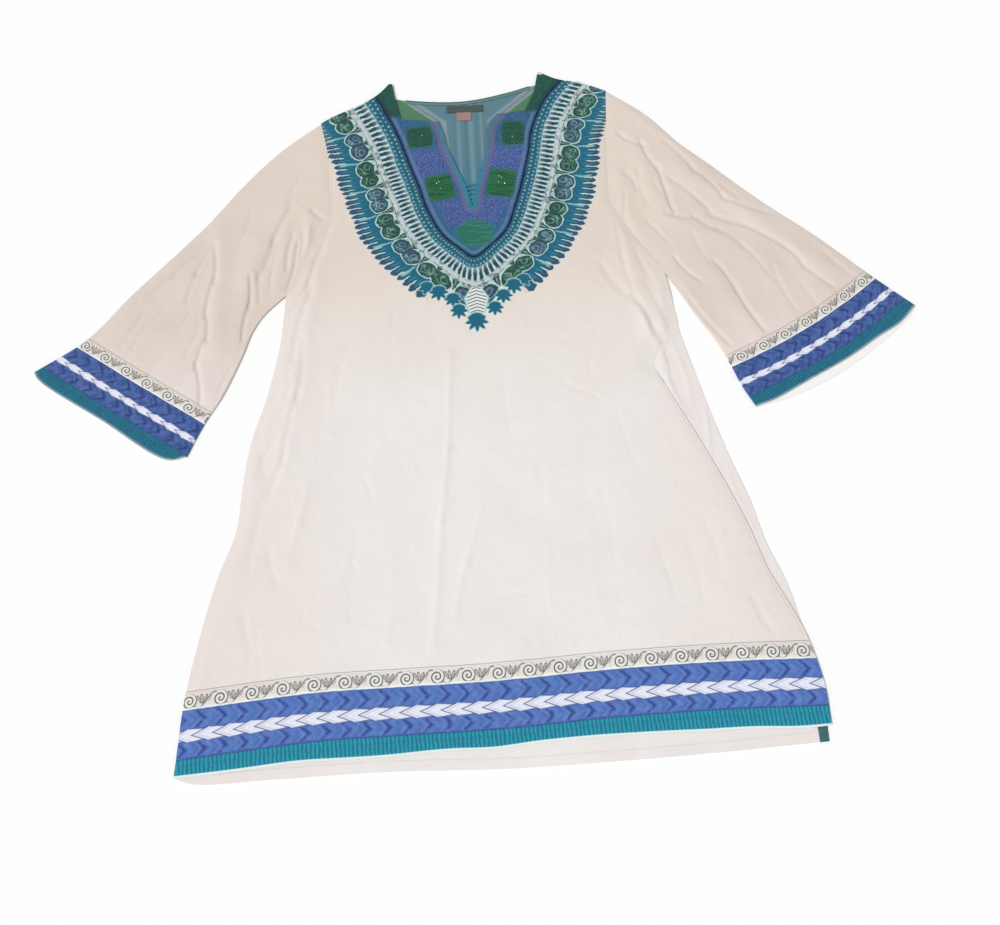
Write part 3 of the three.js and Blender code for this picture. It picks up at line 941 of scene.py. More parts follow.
@dataclass(frozen=True)
class BorderPrint:
    """Printed border along a hem or cuff, measured in millimetres from the line that it follows.

    Attributes:
        depth: Size across, against that of the hem's border.
        pitch: Size of the repeats, against those of the hem's border.
        dim: Strength of the painted shade that darkens the inks, as on the cuffs.
    """

    depth: float = 1.0
    pitch: float = 1.0
    dim: float = 0.0

    # where each band ends
    teal: float = 18.5
    lower_blue: float = 36.5
    feathers: float = 48.5
    upper_blue: float = 70.0
    scroll: float = 90.0
    # the length of each repeat
    chevron_step: float = 22.4
    feather_step: float = 22.8
    rib_step: float = 4.6
    scroll_step: float = 34.3
    # how uneven the ink lies
    grain: float = 0.1  # blotches in a millimetre
    waver: float = 3.2  # how far the block's hand-cut lines stray

    def print_on(self, dye: Dye, u: Field, v: Field, edge: Field) -> None:
        """Lay the border's bands.

        Args:
            dye: Colours of the cloth so far.
            u: Millimetres along the line that the print follows.
            v: Millimetres in from that line.
            edge: Millimetres in from the cloth's edge.
        """
        u, v = u / self.pitch, v / self.depth
        wobble = add_node(
            dye.tree, "ShaderNodeTexNoise", {"noise_dimensions": "2D"},
            {"Vector": joined_vector(dye.tree, u, v), "Scale": 0.12, "Detail": 2.0},
        )
        sway = (Field(dye.tree, wobble.outputs[0]) - 0.5) * self.waver
        v = v + sway * 0.28
        self._scroll(dye, u, v)
        self._blues(dye, u, v, sway)
        self._ribs(dye, u, v, edge, sway)
        patches = add_node(
            dye.tree, "ShaderNodeTexNoise", {"noise_dimensions": "2D"},
            {"Vector": joined_vector(dye.tree, u, v), "Scale": self.grain, "Detail": 4.0, "Roughness": 0.7},
        )
        blotch = Field(dye.tree, patches.outputs[0])
        blues = v.within(self.teal, self.upper_blue, 1.0)
        # the dim share, here and below, lays painted shade over the blues and the ribs
        dye.lay(INKS.blue_deep, blotch.over(0.54, 0.08) * v.within(2.0, self.upper_blue, 1.0), 0.1 + self.dim)
        dye.lay(INKS.blue_light, blotch.under(0.42, 0.08) * blues, 0.3)
        if self.dim:
            ribs = v.under(self.teal, 1.0)
            dye.lay(INKS.navy, blues, self.dim)
            dye.lay(INKS.print_teal, ribs, 1.7 * self.dim)
            dye.lay(INKS.leaf_line, ribs, 0.4 * self.dim)
        self._feathers(dye, u, v)

    def _scroll(self, dye: Dye, u: Field, v: Field) -> None:
        """Draw the thin double line and the running scroll with its leaves.

        Args:
            dye: Colours of the cloth so far.
            u: Millimetres along the print, in the hem's size.
            v: Millimetres across it, likewise.
        """
        middle = (self.upper_blue + self.scroll) / 2 - 1.2
        dye.lay(INKS.cream, v.within(self.upper_blue, self.scroll - 4.0, 4.0), 0.6)
        dye.lay(INKS.ink, v.within(self.upper_blue + 3.5, self.scroll - 3.5, 3.0), 0.15)
        dye.lay(INKS.ink, v.line(self.scroll, 0.9, 0.7), 0.6)
        dye.lay(INKS.ink, v.line(self.scroll - 2.2, 0.6, 0.7) * (u.repeat(3.0)).over(-0.4, 0.8), 0.4)
        x = u.repeat(self.scroll_step)
        y = v - middle
        out = radius(x + 4.0, y)
        turn = y.formula("ARCTAN2", x + 4.0) / (2 * math.pi)
        arm = (out / 4.3 - turn + 0.1).repeat(1.0)
        dye.lay(INKS.white, out.under(8.6, 1.5), 0.3)
        dye.lay(INKS.ink, abs(arm).under(0.19, 0.16) * out.under(8.6, 0.6), 0.95)
        vine = y + (u * (2 * math.pi / self.scroll_step) + 0.35).formula("SINE") * 7.6
        dye.lay(INKS.ink, vine.line(0.0, 1.7, 1.2) * out.over(8.2, 0.8), 0.8)
        for at, lean, wide, tall, dark in (
            (7.0, 0.5, 1.7, 4.4, 0.9), (10.2, 0.15, 1.9, 5.4, 0.8), (13.8, -0.35, 1.7, 4.8, 0.95),
            (16.6, -0.7, 1.4, 3.8, 0.6), (-16.4, -0.5, 1.5, 3.6, 0.75),
        ):
            leaf = radius((x - at + (y - 1.0) * lean) / wide, (y - 1.4) / tall)
            dye.lay(INKS.ink, leaf.line(0.85, 0.4, 0.3), dark)
            dye.lay(INKS.ink, leaf.under(0.5, 0.3), dark * 0.6)
        dye.lay(INKS.white, v.line(self.upper_blue + 1.2, 2.0, 1.0), 0.8)

    def _blues(self, dye: Dye, u: Field, v: Field, sway: Field) -> None:
        """Lay both blue bands with their dark chevrons, each lit along one edge.

        Args:
            dye: Colours of the cloth so far.
            u: Millimetres along the print, in the hem's size.
            v: Millimetres across it, likewise.
            sway: How far the lines stray at a place.
        """
        dye.lay(INKS.blue, v.within(self.teal, self.upper_blue, 1.0))
        for low, high, start in ((self.teal, self.lower_blue, 9.0), (self.feathers, self.upper_blue, 7.0)):
            half = (high - low) / 2
            y = abs(v - (low + high) / 2)
            arm = (u + y * 1.02 + sway).repeat(self.chevron_step, start)
            reach = y.under(half - 1.8, 1.4)
            # painted highlights beside each chevron
            dye.lay(INKS.blue_light, (arm + 4.6).line(0.0, 3.4, 3.0) * reach, 0.4)
            dye.lay(INKS.blue_light, (arm - 7.0).line(0.0, 4.0, 4.0) * reach, 0.25)
            thick = 2.1 - y * 0.1
            dye.lay(INKS.blue_deep, abs(arm + 0.8).under(thick + 1.6, 2.4) * reach, 0.35)
            dye.lay(INKS.blue_deep, abs(arm).under(thick, 1.2) * reach, 0.8)
            dye.lay(INKS.blue_deep, (arm + 8.4).line(0.0, 1.2, 1.6) * reach, 0.25)
            dye.lay(INKS.blue_deep, y.over(half - 1.2, 1.0) * v.within(low, high), 0.45)

    def _feathers(self, dye: Dye, u: Field, v: Field) -> None:
        """Lay the white band of feathers that point the other way.

        Args:
            dye: Colours of the cloth so far.
            u: Millimetres along the print, in the hem's size.
            v: Millimetres across it, likewise.
        """
        middle = (self.lower_blue + self.feathers) / 2
        y = abs(v - middle)
        swept = u - y * 2.5
        notch = (swept / self.feather_step).formula("FRACT") * 1.8
        half = (self.feathers - self.lower_blue) / 2 + 0.9
        ground = y.under(half - notch, 0.7)
        dye.lay(INKS.feather_line, y.under(half - notch + 1.0, 0.8), 0.75)
        dye.lay(INKS.feather, ground)
        quill = swept.repeat(self.feather_step)
        dye.lay(INKS.feather_line, (quill + 0.8).line(0.0, 3.4, 1.6) * y.under(half - 0.6, 1.0), 0.9)
        dye.lay(INKS.feather_line, swept.repeat(self.feather_step / 3).line(0.0, 1.4, 1.6) * ground, 0.22)
        dye.lay(INKS.feather_line, (quill - 5.0).line(0.0, 4.0, 5.0) * ground, 0.25)

    def _ribs(self, dye: Dye, u: Field, v: Field, edge: Field, sway: Field) -> None:
        """Lay the teal band with its ribs, its dark top line and a painted highlight along its folded edge.

        Args:
            dye: Colours of the cloth so far.
            u: Millimetres along the print, in the hem's size.
            v: Millimetres across it, likewise.
            edge: Millimetres in from the cloth's cut edge.
            sway: How far the lines stray at a place.
        """
        band = v.under(self.teal, 0.8)
        dye.lay(INKS.teal, band)
        rib = (u + sway * 0.8 + (v - 9.0) * 0.06).repeat(self.rib_step)
        dye.lay(INKS.teal_light, rib.line(1.3, 1.2, 1.4) * band, 0.45)
        dye.lay(INKS.teal_deep, rib.line(-0.8, 1.5, 1.0) * band, 0.75)
        dye.lay(INKS.blue_deep, v.line(self.teal - 0.2, 1.7, 0.9), 0.75)
        # painted highlight along the folded edge
        dye.lay(INKS.hem_edge_highlight, edge.under(2.3, 1.0) * band, 0.95)


@dataclass(frozen=True)
class NeckPrint:
    """Printed collar of dots, bars, paired leaves and fingers round the yoke.

    Across, the bands are shares of a depth that counts as 100; along, a motif counts as 44.
    """

    motif: float = 44.0
    depth: float = 100.0
    fingers: float = 5.5
    bars: int = 6
    dots: int = 7
    lean: float = 0.0008  # how far the fingers lean away from the front's middle

    def print_on(self, dye: Dye, step: Field, share: Field) -> None:
        """Lay the print's bands, with edges that waver as a hand-cut block's do.

        Args:
            dye: Colours of the cloth so far.
            step: Motifs counted from the middle of the front.
            share: Depth from the navy line (0) to the print's edge (1).
        """
        place = add_node(dye.tree, "ShaderNodeTexCoord").outputs["Object"]
        noise = add_node(
            dye.tree, "ShaderNodeTexNoise", None,
            {"Vector": place, "Scale": 1 / (8 * MM), "Detail": 4.0, "Roughness": 0.62},
        )
        split = add_node(dye.tree, "ShaderNodeSeparateXYZ", None, {0: noise.outputs["Color"]})
        step = step + (Field(dye.tree, split.outputs[0]) - 0.5) * 0.12
        y = (share * self.depth) + (Field(dye.tree, split.outputs[1]) - 0.5) * 6.0
        grit = Field(dye.tree, split.outputs[2])
        width = abs(step.repeat(1.0) * self.motif)
        beside = abs(step).over(0.84, 0.1)
        self._fingers(dye, step, width, y, beside)
        self._leaves(dye, step, width, y, grit)
        self._bands(dye, step, y, grit)

    def _fingers(self, dye: Dye, step: Field, width: Field, y: Field, beside: Field) -> None:
        """Lay the outer fingers, blue at their tips, with pale slits between them.

        Args:
            dye: Colours of the cloth so far.
            step: Motifs counted from the middle of the front.
            width: Distance from the motif's middle along the print.
            y: Depth from the navy line, of 100.
            beside: Mask that leaves out the print's lowest motif.
        """
        tip = 100.5 - width * 0.12
        end = self._share((tip - y) / 5.0).formula("POWER", 0.5)
        base = self._share((85.5 - y) / 7.0)
        swept = step - (y - 80.0) * step * self.lean
        across = abs(swept.repeat(1.0 / self.fingers) * self.motif)
        half = end * (base * base * 1.5 + 3.1)
        zone = y.over(50.0, 2.0) * y.under(tip + 0.5, 1.0) * beside
        between = abs(swept.repeat(1.0, 0.5) * self.motif)
        dye.lay(INKS.white, y.over(74.0, 3.0) * y.under(tip - 1.0, 7.0) * beside, 0.12)
        dye.lay(INKS.mint, across.under(half + 0.9, 0.9) * zone, 0.6)
        finger = across.under(half, 0.8) * zone
        dye.lay(INKS.print_teal, finger)
        dye.lay(INKS.print_tip, finger * y.over(88.0, 9.0), 0.85)
        dye.lay(INKS.leaf_line, finger * across.over(1.7, 1.0) * y.over(82.0, 6.0), 0.5)
        dye.lay(INKS.teal_light, finger * across.under(0.8, 1.0) * y.within(76.0, 90.0, 6.0), 0.3)
        slit = between.under(1.0 + (y - 72.0) * 0.05, 0.8) * y.within(66.0, 90.0, 5.0)
        dye.lay(INKS.mint, slit * beside, 0.8)

    @staticmethod
    def _share(number: Field) -> Field:
        """Hold a number between 0 and 1."""
        return number.formula("MULTIPLY", 1.0, clamp=True)

    def _leaves(self, dye: Dye, step: Field, width: Field, y: Field, grit: Field) -> None:
        """Lay the paired leaves, green and slate in turn, with dark spikes between the pairs.

        Args:
            dye: Colours of the cloth so far.
            step: Motifs counted from the middle of the front.
            width: Distance from the motif's middle along the print.
            y: Depth from the navy line, of 100.
            grit: Fine noise of the ink.
        """
        lobe = radius((width - 9.0) / 10.2, (y - 57.8) / 11.2)
        dye.lay(INKS.mint, y.within(38.0, 52.0, 2.0), 0.85)
        dye.lay(INKS.mint, lobe.under(1.22, 0.1) * y.over(41.0, 1.0), 0.9)
        dye.lay(INKS.white, lobe.line(1.17, 0.05, 0.08) * y.over(44.0, 2.0), 0.6)
        spike = (self.motif / 2 - width).under((60.0 - y) * 0.26, 0.9) * y.over(43.0, 1.0)
        dye.lay(INKS.leaf_line, spike, 0.95)
        dye.lay(INKS.mint, (self.motif / 2 - width).under((54.0 - y) * 0.1, 0.9) * y.over(44.0, 1.0), 0.6)
        dye.lay(INKS.leaf_line, width.under((52.0 - y) * 0.5, 0.9) * y.over(43.0, 1.0), 0.9)
        dye.lay(INKS.leaf_line, lobe.under(1.06, 0.08))
        odd = (step.formula("ROUND") * 0.5).formula("FRACT").over(0.25, 0.1)
        fill = lobe.under(0.9, 0.12)
        dye.lay(INKS.leaf_slate, fill)
        dye.lay(INKS.leaf_green, fill * odd)
        loop = radius((width - 11.4) / 5.6, (y - 55.4) / 6.4)
        dye.lay(INKS.leaf_line, loop.line(1.05, 0.4, 0.22) * fill, 0.75)
        dye.lay(INKS.mint, loop.line(0.68, 0.12, 0.16) * (y - width * 0.6 - 46.0).over(0.0, 3.0) * fill, 0.6)
        dye.lay(INKS.leaf_line, loop.under(0.34, 0.2) * fill, 0.6)
        vein = (y - width * 0.5 - 58.4).line(0.0, 1.1, 1.2) * width.within(2.0, 14.0, 2.0)
        dye.lay(INKS.mint, vein * fill, 0.6)
        dye.lay(INKS.leaf_line, width.under(1.2, 1.4) * y.under(65.0, 3.0) * lobe.under(1.0, 0.1), 0.85)
        dye.lay(INKS.mint, grit.under(0.43, 0.05) * fill, 0.3)
        dye.lay(INKS.leaf_line, grit.over(0.56, 0.05) * fill, 0.35)

    def _bands(self, dye: Dye, step: Field, y: Field, grit: Field) -> None:
        """Lay the ring, the bars, the dotted ring and the navy line.

        Args:
            dye: Colours of the cloth so far.
            step: Motifs counted from the middle of the front.
            y: Depth from the navy line, of 100.
            grit: Fine noise of the ink.
        """
        dye.lay(INKS.bar_ground, y.within(15.0, 38.0, 0.8))
        dye.lay(INKS.ring, y.within(36.4, 40.6, 0.8))
        dye.lay(INKS.leaf_line, y.line(41.5, 1.0) * grit.over(0.44, 0.1), 0.85)
        dye.lay(INKS.leaf_line, grit.over(0.57, 0.05) * y.within(34.0, 46.0, 2.0), 0.6)
        dye.lay(INKS.bar, y.line(35.8, 0.6), 0.4)
        bar = abs(step.repeat(1.0 / self.bars) * self.motif)
        taper = abs(y - 24.5) * 0.09
        dye.lay(INKS.white, bar.line(3.4, 0.8, 1.0) * y.within(18.0, 35.0, 1.5), 0.5)
        strength = y.over(23.0, 7.0) * 0.35 + 0.65
        dye.lay(INKS.bar, bar.under(2.7 - taper, 0.9) * y.within(17.5, 34.5, 1.5) * strength)
        dye.lay(INKS.leaf_line, bar.under(1.2 - taper, 0.9) * y.within(20.0, 33.0, 2.5), 0.65)
        dye.lay(INKS.dots_ground, y.within(1.0, 16.2, 0.8))
        dye.lay(INKS.print_teal, y.within(10.4, 17.0, 0.9), 0.55)
        dot = radius(step.repeat(1.0 / self.dots) * self.motif, y - 6.6)
        dye.lay(INKS.leaf_line, dot.under(2.2, 0.9), 0.4)
        dye.lay(INKS.mint, dot.under(1.3, 0.8), 0.8)
        speck = radius(step.repeat(1.0 / self.dots, 0.5 / self.dots) * self.motif, (y - 13.4) * 0.8)
        dye.lay(INKS.mint, speck.under(1.3, 0.8), 0.65)
        dye.lay(INKS.navy, y.line(0.0, 4.2, 0.8))


@dataclass(frozen=True)
class TipLeaf:
    """A leaf near the print's lowest point, toothed on its lower edge, in millimetres."""

    x: float
    y: float
    wide: float
    tall: float
    points: int = 8
    turn: float = 0.0


TIP_LEAVES = (
    TipLeaf(-69, 577, 10.5, 9.5, 7, 0.8), TipLeaf(56, 582, 10.5, 9.5, 7, 0.5),
    TipLeaf(-54, 569, 11.5, 11.0, 8, 0.4), TipLeaf(43, 574, 11.5, 11.0, 8, 0.2),
    TipLeaf(-36, 558, 11.0, 10.0, 8, 0.1), TipLeaf(29, 560, 11.0, 10.0, 8, 0.6),
    TipLeaf(-29, 541, 10.5, 10.5, 8, 0.5), TipLeaf(17, 543, 10.5, 10.0, 8, 0.3),
    TipLeaf(-7, 525, 13.5, 13.5, 9, 1.6),
)


@dataclass(frozen=True)
class Block:
    """A block of close stitches on the yoke, turned by an angle in degrees.

    Attributes:
        round: Whether its outline is an oval.
        dull: Whether its greens are greyer and darker.
    """

    x: float
    y: float
    width: float
    height: float
    turn: float
    sequins: int
    round: bool = False
    dull: bool = False

    def placed(self, line: Points) -> Points:
        """Turn a line about the block's middle and put it in place."""
        c, s = math.cos(math.radians(self.turn)), math.sin(math.radians(self.turn))
        return line @ np.array([[c, s], [-s, c]]) + np.array([self.x, self.y])


BLOCKS = (
    Block(-72, 812, 31, 33, 4, 1, dull=True), Block(56, 812, 28, 38, -3, 1, dull=True),
    Block(-47, 729, 32, 38, 10, 3), Block(36, 732, 34, 42, -10, 4),
    Block(-3, 655, 46, 40, 0, 0, round=True),
)


@dataclass(frozen=True)
class YokePrint:
    """Printed ground of the yoke between the navy line and the neck's edge."""

    green_above: float = 848.0  # height from which the shoulders' green shows

    def print_on(self, dye: Dye, x: Field, y: Field, share: Field, slit: Field) -> None:
        """Lay the yoke's colours.

        Args:
            dye: Colours of the cloth so far.
            x: Millimetres across.
            y: Millimetres up.
            share: Depth in the neck print, negative inside the yoke.
            slit: Millimetres from the slit's edges.
        """
        yoke = share.under(-0.012, 0.01)
        place = joined_vector(dye.tree, x, y)
        cells = add_node(
            dye.tree, "ShaderNodeTexVoronoi", {"voronoi_dimensions": "2D"}, {"Vector": place, "Scale": 0.12}
        )
        swirl = (Field(dye.tree, cells.outputs["Distance"]) * 2.1).formula("FRACT")
        mottle = add_node(
            dye.tree, "ShaderNodeTexNoise", {"noise_dimensions": "2D"},
            {"Vector": place, "Scale": 0.16, "Detail": 3.0},
        )
        patchy = Field(dye.tree, mottle.outputs[0])
        dye.lay(INKS.yoke, yoke)
        dye.lay(INKS.yoke_dark, yoke * patchy.over(0.52, 0.2), 0.45)
        curls = (y.within(738.0, 794.0, 14.0) + y.within(640.0, 716.0, 14.0)).formula("MINIMUM", 1.0) * yoke
        dye.lay(INKS.purple, curls, 0.45)
        dye.lay(INKS.purple_light, curls * swirl.within(0.2, 0.5, 0.2) * patchy.over(0.45, 0.2), 0.5)
        dye.lay(INKS.blue_deep, curls * swirl.over(0.62, 0.2), 0.5)
        dye.lay(INKS.print_teal, yoke * share.over(-0.2, 0.12) * y.under(700.0, 40.0), 0.65)
        dye.lay(INKS.yoke_light, share.within(-0.075, -0.03, 0.02), 0.5)
        top = yoke * y.over(self.green_above, 6.0)
        dye.lay(INKS.yoke_green, top)
        dye.lay(INKS.leaf_line, top * patchy.over(0.5, 0.25), 0.45)
        dye.lay(INKS.leaf_line, share.within(-0.06, -0.012, 0.02) * y.over(self.green_above, 6.0), 0.5)
        for block in BLOCKS:
            c, s = math.cos(math.radians(block.turn)), math.sin(math.radians(block.turn))
            from_x, from_y = x - block.x, y - block.y
            across = abs(from_x * c + from_y * s) / (block.width / 2 + 1.0)
            upward = abs(from_y * c - from_x * s) / (block.height / 2 + 1.0)
            edge = radius(across, upward) if block.round else across.formula("MAXIMUM", upward)
            dye.lay(INKS.oval if block.round else INKS.green_block, edge.under(1.04, 0.3) * yoke, 0.8)
        below = y.under(self.green_above - 4.0, 6.0) * yoke
        dye.lay(INKS.through, slit.under(7.5, 1.0) * below, 0.55)
        dye.lay(INKS.slit_teal, slit.under(4.6, 0.8) * y.under(768.0, 30.0) * yoke, 0.85)
        dye.lay(INKS.mauve, slit.within(7.8, 11.0, 1.2) * below, 0.85)


NECK_MIDDLE = -6.0  # where the neck's middle lies across


@dataclass(frozen=True)
class PrintedCotton:
    """Cotton lawn: plain weave of fine spun yarn, screen printed with reactive dye and pressed.

    The dye lies in the fibre, so the print is as matt as the bare cloth. Loose fibre ends give a weak
    sheen at low angles, uneven yarn makes faint light and dark clouds, and handling leaves small wrinkles.

    Attributes:
        name: Name of the material.
        ground: Colour of the bare cloth.
        shade: Colour that it drifts towards in clouds.
        border: The border printed along the edge, if any.
        neck: Whether the neck print and the yoke are on this cloth.
        seen_through: Whether this is the wrong side of the back, with the neck's print behind it.
        painted_shade: Whether painted shade makes the cloth darker and warmer towards the shoulders and the
            sides.
    """

    name: str
    ground: str = INKS.cloth
    shade: str = INKS.cloth_shade
    border: BorderPrint | None = None
    neck: bool = False
    seen_through: bool = False
    painted_shade: bool = True

    weave: float = 1.1  # millimetres a thread, which is coarser than lawn so that it shows at all
    cloud: float = 90.0  # millimetres across a cloud of tone
    slub: float = 2.4  # millimetres along a thick place in the yarn
    rumple: float = 26.0  # millimetres from one small wrinkle to the next
    roughness: float = 0.86
    ior: float = 1.46  # cellulose
    sheen: float = 0.12

    def make(self, frame: Frame) -> Material:
        """Build the material.

        Args:
            frame: Where the maker's frame lies.

        Returns:
            The material.
        """
        material, place = begun_material(self.name)
        tree = material.node_tree
        split = add_node(tree, "ShaderNodeSeparateXYZ", None, {0: place})
        x, y = (Field(tree, split.outputs[k]) / MM - frame.shift[k] for k in (0, 1))
        cloud = add_node(
            tree, "ShaderNodeTexNoise", None, {"Vector": place, "Scale": 1 / (self.cloud * MM), "Detail": 3.0}
        )
        shaded = Field(tree, cloud.outputs[0]).over(0.5, 0.5)
        inputs = {0: shaded.socket, 6: linear(self.ground), 7: linear(self.shade)}
        dye = Dye(tree, add_node(tree, "ShaderNodeMix", {"data_type": "RGBA"}, inputs).outputs[2])
        # Painted shade: the cloth darker and warmer towards the sides low down and towards the shoulders.
        if self.painted_shade:
            side_shade_strength = 0.5 if self.seen_through else 0.95
            dye.lay(INKS.painted_side_shade, abs(x).over(240.0, 200.0) * y.under(480.0, 120.0), side_shade_strength)
            dye.lay(INKS.painted_top_shade, y.over(525.0, 240.0) * abs(x).under(270.0, 60.0), 0.95)
        if self.border:
            self.border.print_on(dye, *read_numbers(tree, "border"))
        if self.neck:
            self._print_neck(dye, x, y)
        if self.seen_through:
            self._print_through(dye, x, y)
        slub = add_node(
            tree, "ShaderNodeTexNoise", None, {"Vector": place, "Scale": 1 / (self.slub * MM), "Detail": 2.0}
        )
        fade = (Field(tree, slub.outputs[0]) - 0.5) * 0.10 + 1.0
        tint = add_node(
            tree, "ShaderNodeVectorMath", {"operation": "SCALE"}, {0: dye.colour, "Scale": fade.socket}
        )
        surface = {
            "Base Color": tint.outputs[0], "Roughness": self.roughness, "IOR": self.ior,
            "Sheen Weight": self.sheen, "Sheen Roughness": 0.5, "Normal": self._relief(tree, place, x, y),
        }
        return ended_material(material, self.ground, surface)

    def _print_neck(self, dye: Dye, x: Field, y: Field) -> None:
        """Lay the collar print, its lowest leaves and the yoke.

        Args:
            dye: Colours of the cloth so far.
            x: Millimetres across.
            y: Millimetres up.
        """
        step, share, slit = read_numbers(dye.tree, "neck")
        NeckPrint().print_on(dye, step, share)
        rib_side = abs(x - NECK_MIDDLE)
        half = 14.5 - ((558.0 - y) * 0.27).formula("MAXIMUM", (y - 558.0) * 0.6)
        length = y.within(536.0, 574.0, 1.5)
        dye.lay(INKS.mint, rib_side.under(half + 2.0, 1.2) * length)
        dye.lay(INKS.cream, rib_side.under(half, 1.2) * length, 0.8)
        rib = (y + rib_side * 0.38).repeat(4.7)
        dye.lay(INKS.bar, rib.line(0.0, 1.7) * rib_side.under(half - 0.8, 1.0) * length, 0.85)
        for leaf in TIP_LEAVES:
            from_x, from_y = (x - leaf.x) / leaf.wide, (y - leaf.y) / leaf.tall
            out = radius(from_x, from_y)
            tooth = (from_y.formula("ARCTAN2", from_x) * leaf.points + leaf.turn).formula("COSINE")
            edge = tooth * from_y.under(0.2, 1.0) * 0.23 + 0.86
            dye.lay(INKS.mint, out.under(edge + 0.14, 0.08), 0.85)
            dye.lay(INKS.print_teal, out.under(edge, 0.07))
            dye.lay(INKS.dots_ground, out.under(edge * 0.45, 0.4), 0.5)
        YokePrint().print_on(dye, x, y, share, slit)

    def _print_through(self, dye: Dye, x: Field, y: Field) -> None:
        """Lay what shows through the back inside the neck, and the print turned over at a hem corner.

        Args:
            dye: Colours of the cloth so far.
            x: Millimetres across.
            y: Millimetres up.
        """
        side = abs(x - NECK_MIDDLE)
        half = (y - 838.0).formula("MAXIMUM", 0.0) * 1.15 + 36.0 - (820.0 - y).formula("MAXIMUM", 0.0) * 0.10
        off = side - half
        near = y.over(640.0, 40.0)
        dye.lay(INKS.through, near)
        dye.lay(INKS.slit_teal, y.under(768.0, 60.0) * near, 0.45)
        dye.lay(INKS.lime, off.over(3.0, 3.0) * near)
        dye.lay(INKS.through_pale, off.within(-8.0, 0.0, 2.5) * near, 0.5)
        dye.lay(INKS.through_pale, off.within(3.0, 9.0, 2.5) * near, 0.6)
        dye.lay(INKS.through_line, off.line(1.2, 2.8, 1.4) * near, 0.85)
        dye.lay(INKS.through_line, off.line(-13.0, 1.4, 1.2) * near, 0.3)
        dye.lay(INKS.turned_corner, x.over(342.5, 1.5) * y.under(7.0, 1.5))
        core = near * off.under(-8.0, 2.0)
        for place, width, ink, strength in (
            (-2.6, 2.6, INKS.leaf_slate, 0.5), (-12.0, 5.0, INKS.through_pale, 0.25),
            (5.0, 6.0, INKS.through_pale, 0.3), (-18.5, 2.0, INKS.leaf_slate, 0.25),
            (13.0, 2.0, INKS.leaf_slate, 0.25), (19.0, 3.0, INKS.through_pale, 0.3),
        ):
            dye.lay(ink, (x - NECK_MIDDLE).line(place, width, 1.8) * core, strength)

    def _relief(self, tree: NodeTree, place: NodeSocket, x: Field, y: Field) -> NodeSocket:
        """Work out the weave and the small wrinkles.

        Args:
            tree: The material's tree.
            place: Place on the piece.
            x: Millimetres across.
            y: Millimetres up.

        Returns:
            The normal of the surface.
        """
        wave = 2 * math.pi / self.weave
        warp = (x * wave).formula("SINE") * (y * wave).formula("SINE")
        rumple = add_node(
            tree, "ShaderNodeTexNoise", None,
            {"Vector": place, "Scale": 1 / (self.rumple * MM), "Detail": 4.0, "Roughness": 0.55,
             "Distortion": 0.6},
        )
        height = Field(tree, rumple.outputs[0]) * 1.9 + warp * 0.035
        inputs = {"Height": height.socket, "Strength": 0.55, "Distance": MM}
        return add_node(tree, "ShaderNodeBump", None, inputs).outputs[0]


@dataclass(frozen=True)
class Thread:
    """Mercerised cotton or rayon thread: smooth round yarn of two twisted plies.

    The swollen fibre gives a soft gloss along the thread, and the twist's grooves are darkened with painted
    shade besides their bump.

    Attributes:
        name: Name of the material.
        colour: sRGB colour.
        roughness: Low for embroidery thread, high for a bound edge.
        depth: Strength of the painted shade in the twist's grooves.
        edge: Colour above the middle of a piece that numbers its width as "band".
        twist: Millimetres from one groove to the next, wide enough to show.
    """

    name: str
    colour: str
    roughness: float = 0.55
    depth: float = 0.3
    edge: str = ""
    twist: float = 3.0

    def make(self) -> Material:
        """Build the material with a faint ply twist.

        Returns:
            The material.
        """
        material, place = begun_material(self.name)
        tree = material.node_tree
        ply = add_node(
            tree, "ShaderNodeTexWave", None,
            {"Vector": place, "Scale": 1 / (self.twist * MM), "Distortion": 2.0},
        )
        dye = Dye(tree, linear(self.colour))
        # painted shade in the twist's grooves
        dye.lay(INKS.leaf_line, Field(tree, ply.outputs[1]), self.depth)
        if self.edge:
            dye.lay(self.edge, read_numbers(tree, "band")[0].over(0.55, 0.15))
        inputs = {"Height": ply.outputs[1], "Strength": 0.3, "Distance": 0.3 * MM}
        bump = add_node(tree, "ShaderNodeBump", None, inputs)
        surface = {
            "Base Color": dye.colour, "Roughness": self.roughness, "IOR": 1.5, "Normal": bump.outputs[0],
        }
        return ended_material(material, self.colour, surface)


@dataclass(frozen=True)
class Spangle:
    """Sequin punched from metallised plastic film: bright as foil, dulled in places by wear."""

    name: str = "sequin"
    colour: str = "#E6F4DC"
    metallic: float = 0.8
    scuff: float = 1.5  # millimetres across a worn place

    def make(self) -> Material:
        """Build the material with slight wear.

        Returns:
            The material.
        """
        material, place = begun_material(self.name)
        tree = material.node_tree
        inputs = {"Vector": place, "Scale": 1 / (self.scuff * MM)}
        wear = Field(tree, add_node(tree, "ShaderNodeTexNoise", None, inputs).outputs[0])
        surface = {
            "Base Color": linear(self.colour), "Metallic": self.metallic,
            "Roughness": (wear * 0.25 + 0.12).socket,
        }
        return ended_material(material, self.colour, surface)


